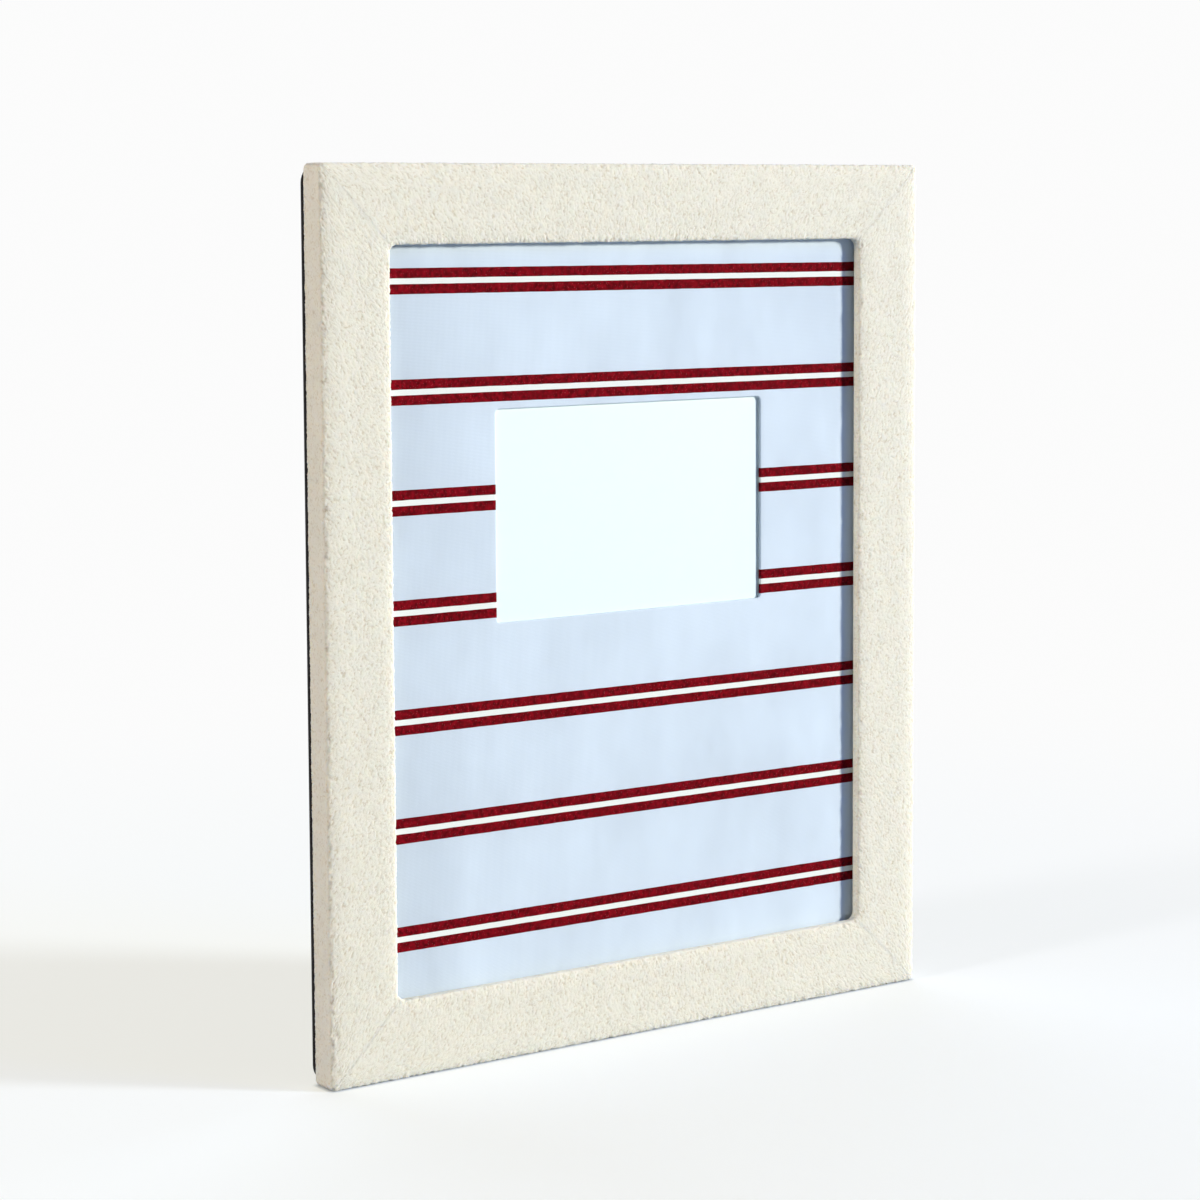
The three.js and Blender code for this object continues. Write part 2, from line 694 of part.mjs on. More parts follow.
// Strut at rest, square to the back: a board in Y and Z with a relieved foot and a slanted outer edge.
function buildStrut() {
  const toeStart = strutReach - strutToeLength;
  const footRadius = strutFootRelief / 2;
  const outline = roundedPolygon([
    [strutHingeClearance, strutFootRelief, footRadius],
    [toeStart - strutFootRelief, strutFootRelief, footRadius],
    [toeStart, 0, footRadius],
    [strutReach, 0, strutCornerRadius],
    [strutReach, strutToeHeight, strutCornerRadius],
    [strutTopReach, strutHeight, strutCornerRadius],
    [strutHingeClearance, strutHeight, strutCornerRadius],
  ]);
  const radius = rivetShankRadius + fitGap;
  outline.holes.push(...rivetPlaces().map(({ reach, height }) => roundHole(reach, height, radius)));
  const board = new THREE.ExtrudeGeometry(outline, {
    depth: strutThickness,
    bevelEnabled: false,
    curveSegments: arcSteps,
  });
  const alongY = new THREE.Vector3(0, 1, 0);
  const alongZ = new THREE.Vector3(0, 0, 1);
  const alongX = new THREE.Vector3(1, 0, 0);
  board.applyMatrix4(new THREE.Matrix4().makeBasis(alongY, alongZ, alongX));
  const strut = addMesh(part, "strut_board", board, blackBoard);
  strut.position.set(-axisStandOff - strutThickness, yAt(hingeAxisDepth), 0);
}

// Ribbon from the backing board across to the open strut, with a flat tab riveted down at each end.
function buildRibbon() {
  const group = new THREE.Group();
  group.position.set(0, yAt(hingeAxisDepth), ribbonHeight);
  part.add(group);
  const lift = axisStandOff - fitGap - ribbonThickness / 2;
  const tabEnd = ribbonReach + ribbonTabLength;
  const line = [
    new THREE.Vector2(tabEnd, -lift),
    new THREE.Vector2(ribbonReach, -lift),
    new THREE.Vector2(-lift, ribbonReach),
    new THREE.Vector2(-lift, tabEnd),
  ];
  const strip = new THREE.ExtrudeGeometry(stripOutline(line, ribbonThickness), {
    depth: ribbonWidth,
    bevelEnabled: false,
  }).translate(0, 0, -ribbonWidth / 2);
  const holeDepth = 2 * (ribbonThickness + fitGap);
  const holeRadius = rivetShankRadius + fitGap;
  const backingHole = new THREE.CylinderGeometry(holeRadius, holeRadius, holeDepth, roundSteps);
  const strutHole = backingHole.clone().applyQuaternion(ontoStrut);
  backingHole.translate(ribbonRivetReach, -lift, 0);
  strutHole.translate(-lift, ribbonRivetReach, 0);
  addMesh(group, "ribbon_stay", cut(strip, [backingHole, strutHole]), blackRibbon);
  const strutSide = new THREE.Group();
  strutSide.quaternion.copy(ontoStrut);
  group.add(strutSide);
  const seat = 2 * fitGap + ribbonThickness - axisStandOff;
  for (const [owner, label] of [[group, "backing"], [strutSide, "strut"]]) {
    const geometry = leafRivet(fitGap + ribbonThickness);
    const rivet = addMesh(owner, `ribbon_rivet_${label}`, geometry, nickelSteel);
    rivet.position.set(ribbonRivetReach, seat, 0);
  }
}

sides.forEach(buildSide);
buildCornerNails();
addMesh(part, "pile_cover", coverGeometry(), pileCloth);
buildTrim();
buildPictureStack();
buildBacking();
buildHinge("lower_hinge", lowerHingeHeight);
buildHinge("upper_hinge", upperHingeHeight);
buildStrut();
buildRibbon();

export default part;
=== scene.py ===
"""Looks of a photo frame wrapped in pile cloth, built round its fixed solid model, in metres."""

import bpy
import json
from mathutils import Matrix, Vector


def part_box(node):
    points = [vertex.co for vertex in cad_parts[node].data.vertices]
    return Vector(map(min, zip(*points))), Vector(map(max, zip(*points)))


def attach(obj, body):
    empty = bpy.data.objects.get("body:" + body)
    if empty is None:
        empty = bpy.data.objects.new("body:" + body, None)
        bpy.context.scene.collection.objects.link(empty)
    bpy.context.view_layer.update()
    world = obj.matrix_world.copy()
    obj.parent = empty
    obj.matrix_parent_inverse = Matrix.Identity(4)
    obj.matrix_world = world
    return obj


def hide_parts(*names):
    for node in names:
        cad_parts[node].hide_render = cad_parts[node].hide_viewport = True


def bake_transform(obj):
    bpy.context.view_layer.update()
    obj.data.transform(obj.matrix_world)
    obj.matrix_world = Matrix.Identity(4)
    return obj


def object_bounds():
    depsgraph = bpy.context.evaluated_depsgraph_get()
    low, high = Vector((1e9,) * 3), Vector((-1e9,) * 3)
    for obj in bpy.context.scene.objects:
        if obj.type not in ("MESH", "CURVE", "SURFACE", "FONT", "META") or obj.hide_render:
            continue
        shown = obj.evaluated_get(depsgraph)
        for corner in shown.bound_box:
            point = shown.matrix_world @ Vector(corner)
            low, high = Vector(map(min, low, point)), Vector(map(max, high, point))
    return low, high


bl_info = {
    "name": "Pile-wrapped photo frame",
    "version": (1, 0, 0),
    "blender": (4, 5, 0),
    "location": "3D View > Sidebar > Photo Frame",
    "description": "Builds the pile cloth, mat, strut, hardware and studio of a photo frame",
    "category": "Add Mesh",
}

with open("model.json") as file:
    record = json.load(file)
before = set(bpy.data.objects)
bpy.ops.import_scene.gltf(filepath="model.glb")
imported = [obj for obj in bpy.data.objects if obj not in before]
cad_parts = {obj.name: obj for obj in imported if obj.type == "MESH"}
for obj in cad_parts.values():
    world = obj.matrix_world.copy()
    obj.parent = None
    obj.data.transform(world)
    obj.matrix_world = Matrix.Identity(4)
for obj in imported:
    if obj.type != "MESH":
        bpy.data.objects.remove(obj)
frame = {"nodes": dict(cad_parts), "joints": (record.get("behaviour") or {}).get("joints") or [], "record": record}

import itertools
import json
import math

import bmesh
import bpy
import numpy as np
from bpy.props import FloatProperty, FloatVectorProperty, IntProperty, PointerProperty
from mathutils import Matrix, Vector

MM = 0.001
cad_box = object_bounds()


def node_box(node):
    """Lowest and highest corner of a solid, as arrays."""
    return [np.array(corner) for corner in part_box(node)]


def node_names(start):
    """Names of the solids that start in one way, in order."""
    return sorted(name for name in frame["nodes"] if name.startswith(start))


def linear(code):
    """Linear red, green and blue of an sRGB hex colour."""
    shares = np.array([int(code[i : i + 2], 16) for i in (1, 3, 5)]) / 255
    return tuple(np.where(shares <= 0.04045, shares / 12.92, ((shares + 0.055) / 1.055) ** 2.4))


COVER_LOW, COVER_HIGH = node_box("pile_cover")
FRONT_Y = COVER_LOW[1]
COVER_DEPTH = COVER_HIGH[1] - FRONT_Y
HINGE_AXIS = Vector(next(joint for joint in frame["joints"] if joint["name"] == "strut_fold")["pos_m"])


# Settings that a user would change

def length(name, description, millimetres):
    """A length property, with its default given in millimetres."""
    return FloatProperty(name=name, description=description, default=millimetres * MM, unit="LENGTH")


def colour(name, description, code):
    """A colour property, with its default given as an sRGB hex value."""
    return FloatVectorProperty(name=name, description=description, default=linear(code), subtype="COLOR")


def angle(name, description, degrees):
    """An angle property, with its default given in degrees."""
    return FloatProperty(name=name, description=description, default=math.radians(degrees), unit="ROTATION")


def power(name, description, watts):
    """A lamp's power property, with its default given in watts."""
    return FloatProperty(name=name, description=description, default=watts, unit="POWER")


def number(name, description, value):
    """A plain number, such as a share of a whole or a brightness where 1 is white."""
    return FloatProperty(name=name, description=description, default=value)


class PileSettings(bpy.types.PropertyGroup):
    """The pile cloth that wraps the rails."""

    rail_width: length("Rail width", "Width of the wrapped rails", 33.8)
    front_width: length("Front edge width", "Width of the outer front edge's rounding on the face", 10)
    front_depth: length("Front edge depth", "Depth of the outer front edge's rounding on the side", 2.2)
    opening_width: length("Opening edge width", "Width of the opening edge's rounding on the face", 9)
    opening_depth: length("Opening edge depth", "Depth of the opening edge's rounding on the wall", 1.6)
    edge_radius: length("Edge radius", "Tightest radius of the cloth on these edges", 0.6)
    opening_shift: length("Opening shift", "How far the opening sits to the left of the middle", 0.8)
    back_radius: length("Back edge", "Radius of the edge where the cloth turns to the back", 0.7)
    outer_corner: length("Outer corner", "Corner radius of the outside, seen from the front", 2.5)
    front_corner: length("Front corner", "Corner radius where the front rounding meets the face", 6.5)
    opening_corner: length("Opening corner", "Corner radius of the opening", 4.2)
    back_turn: length("Back turn", "Width of cloth turned in on the back", 12)
    turn_in_depth: length("Turn-in depth", "Depth of the cloth turned in behind the lip", 5)
    turn_in_width: length("Turn-in width", "Width of the cloth turned in behind the lip", 6.5)
    pile_height: length("Pile height", "From the bottom of the pits to the tips of the curls", 0.42)
    tip_rise: length("Tip rise", "How far the tips stand above the nominal surface", 0.15)
    curl_cell: length("Curl spacing", "Cell of the noise that makes the curls", 1.15)
    curl_warp: length("Curl bend", "How far the curls bend away from even cells", 0.5)
    curl_stretch: number("Curl stretch", "How much taller than wide the curls are drawn out", 1.5)
    edge_bloom: number("Edge bloom", "How much taller the pile stands where it bends over an edge", 1)
    tuft_height: length("Tuft height", "Spread of the tufts that stand out along an edge", 0.8)
    tuft_cell: length("Tuft spacing", "Cell of the noise that makes those tufts", 2.6)
    bloom_radius: length("Bloom radius", "Radius of a bend at which the pile stands fully open", 2.5)
    loft: length("Loft", "Slow rise and fall of the wrapped cloth", 0.16)
    loft_cell: length("Loft spacing", "Cell of that slow rise and fall", 14)
    light_depth: length("Light depth", "How far light spreads among the fibres", 1.9)
    pitch: length("Mesh pitch", "Distance between mesh points on the pile", 0.48)
    tip_colour: colour("Tips", "Colour of the curls' tips", "#E9E8DB")
    # Painted shade: the pits between the curls are drawn in a darker, warmer colour, where shade falls among the
    # curls
    pit_shade_colour: colour("Pits", "Colour down between the curls", "#D2C9B3")


class MatSettings(bpy.types.PropertyGroup):
    """The striped cloth mat and its window."""

    window_overlap: length("Window overlap", "How far the mat covers the print on each side", 4.5)
    window_corner: length("Window corner", "Corner radius of the window", 2)
    fold_radius: length("Fold radius", "Radius of the cloth's fold at the window", 0.7)
    hem: length("Hem", "Width of cloth turned behind the board", 10)
    first_stripe: length("First stripe", "Height of the upper edge of the top stripe", 344.4)
    pair_pitch: length("Pair pitch", "Distance from one pair of stripes to the next", 46.74)
    stripe_width: length("Stripe width", "Width of one dark stripe", 4.27)
    stripe_gap: length("Stripe gap", "Width of the white line in a pair", 2.44)
    stripe_fall: number("Stripe fall", "Fall of the stripes to the right, as a share of the run", 0.0035)
    ground_colour: colour("Ground", "Colour of the cloth between the pairs", "#DCE4F1")
    stripe_colour: colour("Stripe", "Colour of the dark stripes", "#7B0815")
    line_colour: colour("Line", "Colour of the line in a pair", "#F8F7F3")


class BackSettings(bpy.types.PropertyGroup):
    """Boards, ribbon and metal on the back."""

    trim_corner: length("Trim corner", "Corner radius of the back trim", 8)
    trim_gap: length("Trim gap", "Gap between the back trim and the backing board", 0.6)
    board_edge: length("Board edge", "Rounding of the boards' papered edges", 0.5)
    strut_top: length("Strut top", "Reach of the strut's top from the hinge axis", 30)
    strut_toe: length("Strut toe", "Length of the strut's foot on the floor", 36)
    strut_toe_height: length("Toe height", "Height of the strut's foot", 14)
    strut_relief: length("Foot relief", "Lift of the strut's lower edge behind its foot", 6)
    strut_corner: length("Strut corner", "Radius of the strut's corners", 5)
    metal_edge: length("Metal edge", "Rounding of stamped edges", 0.2)
    button_pivot: length("Button pivot", "Radius of a turn button round its screw", 5)
    button_tip: length("Button tip", "Radius of a turn button's tip", 3.5)
    recess_width: length("Recess width", "Width of the cross in a screw's head", 0.62)
    recess_reach: length("Recess reach", "Reach of the cross in a screw's head", 1.75)
    recess_depth: length("Recess depth", "Depth of the cross in a screw's head", 0.55)
    leaf_corner: length("Leaf corner", "Radius of a hinge leaf's corners", 2)
    knuckle_outside: length("Knuckle", "Outer radius of a rolled knuckle", 1.7)
    knuckle_wall: length("Knuckle wall", "Thickness of a rolled knuckle", 0.6)
    knuckle_gap: length("Knuckle gap", "Gap between two knuckles", 0.3)
    tooth_depth: length("Tooth depth", "Depth of the hanger's teeth", 1.6)
    tooth_margin: length("Tooth margin", "Plain end of the hanger beside its teeth", 6.3)
    tooth_count: IntProperty(name="Teeth", description="Number of teeth on the hanger", default=11)
    ribbon_thickness: length("Ribbon", "Thickness of the ribbon stay", 0.3)
    ribbon_bend: length("Ribbon bend", "Radius of the ribbon's bends", 4)
    board_colour: colour("Board", "Colour of the black flocked paper", "#19181A")
    ribbon_colour: colour("Ribbon colour", "Colour of the satin ribbon", "#15141A")
    metal_colour: colour("Metal", "Colour of the nickel plate", "#CFCCC4")


class StageSettings(bpy.types.PropertyGroup):
    """Camera, room and floor, with the lamps' settings added below."""

    camera_place: FloatVectorProperty(
        name="Camera", description="Place of the camera", default=(-0.7777, -1.0982, 0.3697),
        subtype="TRANSLATION", unit="LENGTH",
    )
    camera_turn: FloatVectorProperty(
        name="Camera turn", description="Yaw, pitch and roll", subtype="EULER", unit="ROTATION",
        default=(0.60646, 0.08951, -0.00523),
    )
    lens: FloatProperty(name="Lens", description="Focal length", default=91.2, unit="CAMERA")
    shift: number("Shift", "Upward shift of the view, as a share of its width", -0.1)
    fill: number("Fill", "Strength of the room's light on the object", 0.03)
    fill_colour: colour("Fill colour", "Colour of the room's light on the object", "#DCE8FF")
    room_white: number("Room white", "Brightness of the white room as seen", 0.97)
    floor_glow: number("Floor glow", "Brightness added to the floor as seen", 0.63)
    glow_colour: colour("Glow colour", "Colour of that brightness", "#FFF9E6")
    floor_contact: length("Floor contact", "Distance within which the floor does not glow", 2.5)
    floor_near: length("Floor near", "Distance at which the floor starts to fade to white", 250)
    floor_far: length("Floor far", "Distance at which the floor is white", 1000)
    floor_size: length("Floor size", "Half the floor's width", 15000)
    floor_colour: colour("Floor", "Colour of the paper on the floor", "#AAB7C9")


LAMP_SETTINGS = {
    "azimuth": (angle, "Turn of the {} lamp from the front towards the right"),
    "elevation": (angle, "Height of the {} lamp above the horizon"),
    "distance": (length, "From the frame's middle to the {} lamp"),
    "size": (length, "Diameter of the {} lamp"),
    "power": (power, "Power of the {} lamp"),
    "colour": (colour, "Colour of the {} lamp"),
}
# Each lamp's defaults in the order above: degrees, millimetres, watts and an sRGB hex value
LAMPS = {
    "key": (48, 12, 12000, 1800, 1895, "#FFF8E8"),
    "soft": (40, 33, 3000, 1200, 18, "#5C9BFF"),
    "side": (-85, 12, 3000, 500, 50, "#FFF0E0"),
    "back": (160, 55, 3000, 2400, 40, "#F3F7FF"),
}
for lamp_name, defaults in LAMPS.items():
    for (key, (kind, description)), default in zip(LAMP_SETTINGS.items(), defaults):
        setting = kind(f"{lamp_name} {key}".capitalize(), description.format(lamp_name), default)
        StageSettings.__annotations__[f"{lamp_name}_{key}"] = setting


# Numpy shapes

def unit(vectors):
    """Vectors at unit length."""
    return vectors / np.linalg.norm(vectors, axis=-1, keepdims=True)


def arc(centre, radius, start, end, steps, grown=0):
    """Points of an arc in a plane: centre + radius (cos a, sin a), a from start to end in degrees.

    The radius is one number, or one for each axis of an ellipse. The arc is then grown along its
    normal, (cos a / first radius, sin a / second radius) at unit length.
    """
    turn = np.radians(np.linspace(start, end, steps + 1))
    direction = np.stack([np.cos(turn), np.sin(turn)], axis=-1)
    radii = np.broadcast_to(radius, 2)
    return np.array(centre) + radii * direction + grown * unit(direction * radii[::-1])


def step_lengths(line):
    """Distance from each point of a line to the next."""
    return np.linalg.norm(np.diff(line, axis=0), axis=1)


def run_along(line):
    """Distance of each point from the first, along a line of points."""
    return np.concatenate([[0], np.cumsum(step_lengths(line))])


def even_steps(line, places):
    """Points at given distances along a line of points, by linear interpolation."""
    run = run_along(line)
    return np.stack([np.interp(places, run, axis) for axis in line.T], axis=-1)


def round_rectangle(low, high, radius, side_steps, corner_steps):
    """Outlines of rectangles with round corners, and their outward directions.

    low and high are (..., 2) corners and radius is (...). From the lower right corner round, each
    corner is centre + radius (cos a, sin a) over a quarter turn, and the sides between are divided
    evenly, so outlines of different sizes have matching points.
    """
    inner_low = low + radius[..., None]
    inner_high = high - radius[..., None]
    corners, quarters = [], []
    for quarter, right_and_top in enumerate([(1, 0), (1, 1), (0, 1), (0, 0)]):
        centre = np.where(right_and_top, inner_high, inner_low)
        quarters.append(arc((0, 0), 1, 90 * quarter - 90, 90 * quarter, corner_steps))
        corners.append(centre[..., None, :] + radius[..., None, None] * quarters[-1])
    outline, outward = [], []
    for k in range(4):
        steps = side_steps[(k + 1) % 2]
        share = np.arange(1, steps)[:, None] / steps
        start = corners[k][..., -1:, :]
        end = corners[(k + 1) % 4][..., :1, :]
        outline += [corners[k], start + (end - start) * share]
        outward += [quarters[k], np.repeat(quarters[k][-1:], steps - 1, axis=0)]
    return np.concatenate(outline, axis=-2), np.concatenate(outward)


def layered(outlines, levels, axis):
    """Points of rows of plane outlines, each row at its own level on the axis that the plane lacks."""
    level = np.broadcast_to(levels[:, None, None], (*outlines.shape[:2], 1))
    return np.concatenate([outlines[..., :axis], level, outlines[..., axis:]], axis=-1)


def grid_faces(rows, columns, wrap_rows=False, wrap_columns=False):
    """Quads of a grid of points, numbered row by row, optionally closed in either direction.

    Every other quad starts one corner further on, so that the diagonals that split them alternate.
    """
    row = np.arange(rows if wrap_rows else rows - 1)[:, None]
    column = np.arange(columns if wrap_columns else columns - 1)[None, :]
    here, below = row * columns, (row + 1) % rows * columns
    after = (column + 1) % columns
    quads = np.stack([here + column, here + after, below + after, below + column], axis=-1)
    odd = ((row + column) % 2 == 1)[..., None]
    return np.where(odd, np.roll(quads, 1, axis=-1), quads).reshape(-1, 4)


def noise(points, cell, seed):
    """Smooth random values, about -0.7 to 0.7.

    Random gradients on a lattice, picked from a table by a hash of the lattice point, are blended
    between its eight neighbours by quintic weights.
    """
    hash_primes = (73856093, 19349663, 83492791)
    table = unit(np.random.default_rng(seed).normal(size=(4096, 3)))
    scaled = points / cell
    base = np.floor(scaled).astype(np.int64)
    part = scaled - base
    fade = part**3 * (part * (part * 6 - 15) + 10)
    total = np.zeros(points.shape[:-1])
    for corner in itertools.product((0, 1), repeat=3):
        key = np.bitwise_xor.reduce((base + corner) * hash_primes, axis=-1)
        slope = ((part - corner) * table[key % len(table)]).sum(axis=-1)
        total += slope * np.where(corner, fade, 1 - fade).prod(axis=-1)
    return total


def smooth_step(values, start, end):
    """0 before start and 1 after end, by 3t^2 - 2t^3 between them."""
    share = np.clip((values - start) / (end - start), 0, 1)
    return share * share * (3 - 2 * share)


def rounded_corners(corners, steps=6):
    """Outline of a polygon of (x, y, radius) corners.

    Each corner is a parabola from a point its radius before the corner to one its radius after it:
    (1-t)^2 start + 2t(1-t) corner + t^2 end.
    """
    places = np.array([corner[:2] for corner in corners], float)
    radius = np.array([corner[2] for corner in corners])[:, None]
    start = (places + radius * unit(np.roll(places, 1, axis=0) - places))[:, None]
    end = (places + radius * unit(np.roll(places, -1, axis=0) - places))[:, None]
    t = np.linspace(0, 1, steps + 1)[:, None]
    return ((1 - t) ** 2 * start + 2 * t * (1 - t) * places[:, None] + t**2 * end).reshape(-1, 2)


def rounded_plate(outline, low, high, edge):
    """Vertices and faces of a plate with rounded edges, its outline in two axes, flat in the third.

    The outline is carried from the low face to the high one. On a quarter turn a at each edge it is
    drawn in by edge (1 - sin a) at a height of edge (1 - cos a) from the face. Polygons close both
    faces. The outline's own corners are rounder than the edge, so that it can be drawn in.
    """
    turn = np.radians(np.linspace(0, 90, 4))
    drawn_in = edge * (1 - np.sin(turn))
    height = edge * (1 - np.cos(turn))
    drawn_in = np.concatenate([drawn_in, drawn_in[::-1]])
    height = np.concatenate([low + height, (high - height)[::-1]])
    ahead = unit(np.roll(outline, -1, axis=0) - outline)
    mean = unit(ahead + np.roll(ahead, 1, axis=0))
    inward = np.stack([-mean[:, 1], mean[:, 0]], axis=-1)
    rings = outline + drawn_in[:, None, None] * inward
    rows, columns = rings.shape[:2]
    faces = grid_faces(rows, columns, wrap_columns=True).tolist()
    faces.append(list(range(columns))[::-1])
    faces.append(list(range((rows - 1) * columns, rows * columns)))
    return layered(rings, height, 2).reshape(-1, 3), faces


def turned(profile, steps):
    """Vertices and faces of a profile of (radius, height) points turned round the third axis."""
    turn = 2 * np.pi * np.arange(steps) / steps
    radius = profile[:, :1]
    rings = np.stack([radius * np.cos(turn), radius * np.sin(turn)], axis=-1)
    faces = grid_faces(len(profile), steps, wrap_columns=True).tolist()
    return layered(rings, profile[:, 1], 2).reshape(-1, 3), faces


def dome_profile(radius, height, rim, steps=8):
    """Profile of a domed head: its underside, an upright rim, then an ellipse up to the axis."""
    turn = np.radians(np.linspace(0, 90, steps + 1))
    dome = np.stack([radius * np.cos(turn), rim + (height - rim) * np.sin(turn)], axis=-1)
    return np.concatenate([[[0, 0], [radius, 0]], dome])


def on_shank(head, radius, reach):
    """A head's profile on a plain shank that reaches down from it."""
    return np.concatenate([[[0, -reach], [radius, -reach], [radius, 0]], head[1:]])


def placed(shape, origin, axes):
    """A shape moved to an origin, with its three axes turned to the given directions."""
    vertices, faces = shape
    return np.array(origin) + vertices @ np.array(axes, float), faces


def together(shapes):
    """Several shapes as one list of vertices and faces."""
    vertices, faces, count = [], [], 0
    for points, polygons in shapes:
        vertices.append(points)
        faces += [[index + count for index in polygon] for polygon in polygons]
        count += len(points)
    return np.concatenate(vertices), faces


def grid_area(points):
    """Area of a grid of points: the sum of its quads, each as wide as two of its sides span."""
    across = np.diff(points, axis=0)[:, :-1]
    along = np.diff(points, axis=1)[:-1]
    return float(np.linalg.norm(np.cross(across, along), axis=-1).sum())


# Blender objects

def new_object(name, mesh, slot):
    """An object at the origin that shows a mesh in the material of a slot."""
    mesh.materials.append(finish(slot))
    piece = bpy.data.objects.new(name, mesh)
    bpy.context.scene.collection.objects.link(piece)
    return piece


def grid_piece(name, points, slot, wrap_rows=False, wrap_columns=False):
    """An object of a smooth grid of points, its faces numbered row by row."""
    rows, columns = points.shape[:2]
    faces = grid_faces(rows, columns, wrap_rows, wrap_columns)
    mesh = bpy.data.meshes.new(name)
    mesh.vertices.add(rows * columns)
    mesh.vertices.foreach_set("co", points.astype(np.float32).ravel())
    mesh.loops.add(faces.size)
    mesh.loops.foreach_set("vertex_index", faces.astype(np.int32).ravel())
    mesh.polygons.add(len(faces))
    mesh.polygons.foreach_set("loop_start", np.arange(0, faces.size, 4, dtype=np.int32))
    mesh.polygons.foreach_set("use_smooth", np.ones(len(faces), bool))
    mesh.update(calc_edges=True)
    return new_object(name, mesh, slot)


def solid_piece(name, shape, slot, body, *nodes):
    """An object of a closed shape that stands for some solids and moves with a body.

    Doubles are merged, faces are turned outwards, and edges are sharp where the surface turns steeply.
    """
    merge, collapse, steep = 1e-7, 1e-8, math.radians(40)
    vertices, faces = shape
    mesh = bpy.data.meshes.new(name)
    mesh.from_pydata(vertices.tolist(), [], faces)
    work = bmesh.new()
    work.from_mesh(mesh)
    bmesh.ops.remove_doubles(work, verts=work.verts, dist=merge)
    bmesh.ops.dissolve_degenerate(work, edges=work.edges, dist=collapse)
    bmesh.ops.recalc_face_normals(work, faces=work.faces)
    work.to_mesh(mesh)
    work.free()
    mesh.shade_smooth()
    mesh.set_sharp_from_angle(angle=steep)
    piece = new_object(name, mesh, slot)
    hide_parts(*nodes)
    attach(piece, body)


# Materials

# Sockets of a Mix node that are colours: its two inputs and its output
COLOUR_A, COLOUR_B, MIXED = 6, 7, 2


def add_node(tree, kind, inputs=None, **settings):
    """Adds a shader node with its settings, and gives each named input a value or a link.

    A link comes from another node's first output, or from any output that is given itself.
    """
    node = tree.nodes.new("ShaderNode" + kind)
    for key, value in settings.items():
        setattr(node, key, value)
    for socket, value in (inputs or {}).items():
        if isinstance(value, bpy.types.Node):
            value = value.outputs[0]
        if isinstance(value, bpy.types.NodeSocket):
            tree.links.new(value, node.inputs[socket])
        else:
            node.inputs[socket].default_value = value
    return node


def start_material(name):
    """A new material with an empty node tree, and the tree's Object coordinates."""
    material = bpy.data.materials.new(name)
    material.use_nodes = True
    tree = material.node_tree
    tree.nodes.clear()
    return material, tree, add_node(tree, "TexCoord").outputs["Object"]


def end_material(tree, inputs):
    """The Principled shader of a material, shown on its surface."""
    add_node(tree, "OutputMaterial", {"Surface": add_node(tree, "BsdfPrincipled", inputs)})


def opaque(rgb):
    """A colour with full cover."""
    return (*rgb, 1)


def wave_scale(spacing):
    """Scale of a wave texture with bands a given distance apart: a band is 2 pi / 20 wide at scale 1."""
    return 2 * math.pi / 20 / spacing


def wool_pile(cloth):
    """Wool-blend curly pile, knitted and sheared.

    The tips scatter light and look pale and soft. The pits between the curls are painted darker and warmer, as
    painted shade where shade falls between the curls. The mesh has the curls, and a fine bump adds their fibres.
    """
    tint_cell, fibre_cell = 9 * MM, 0.35 * MM
    material, tree, place = start_material("wool_pile_cloth")
    rise = add_node(tree, "Attribute", attribute_name="pile_rise").outputs["Fac"]
    depth = add_node(tree, "MapRange", {"Value": rise, "From Min": 0.1, "From Max": 0.7},
                     interpolation_type="SMOOTHSTEP")
    # Painted shade: where the pile rise is low, the darker pit colour is mixed in
    base = add_node(tree, "Mix", {"Factor": depth, COLOUR_A: opaque(cloth.pit_shade_colour),
                                  COLOUR_B: opaque(cloth.tip_colour)}, data_type="RGBA").outputs[MIXED]
    tint = add_node(tree, "TexNoise", {"Vector": place, "Scale": 1 / tint_cell, "Detail": 3.0})
    level = add_node(tree, "MapRange", {"Value": tint, "From Min": 0.3, "From Max": 0.7,
                                        "To Min": 0.97, "To Max": 1.02})
    shade = add_node(tree, "HueSaturation", {"Value": level, "Color": base})
    fibre = add_node(tree, "TexNoise", {"Vector": place, "Scale": 1 / fibre_cell, "Detail": 2.0})
    bump = add_node(tree, "Bump", {"Height": fibre, "Strength": 0.8, "Distance": 0.2 * MM})
    end_material(tree, {"Base Color": shade, "Roughness": 0.95, "Specular IOR Level": 0.1,
                        "Subsurface Weight": 0.8, "Subsurface Radius": (1.0, 0.85, 0.65),
                        "Subsurface Scale": cloth.light_depth, "Sheen Weight": 0.12,
                        "Sheen Roughness": 0.6, "Normal": bump})
    return material


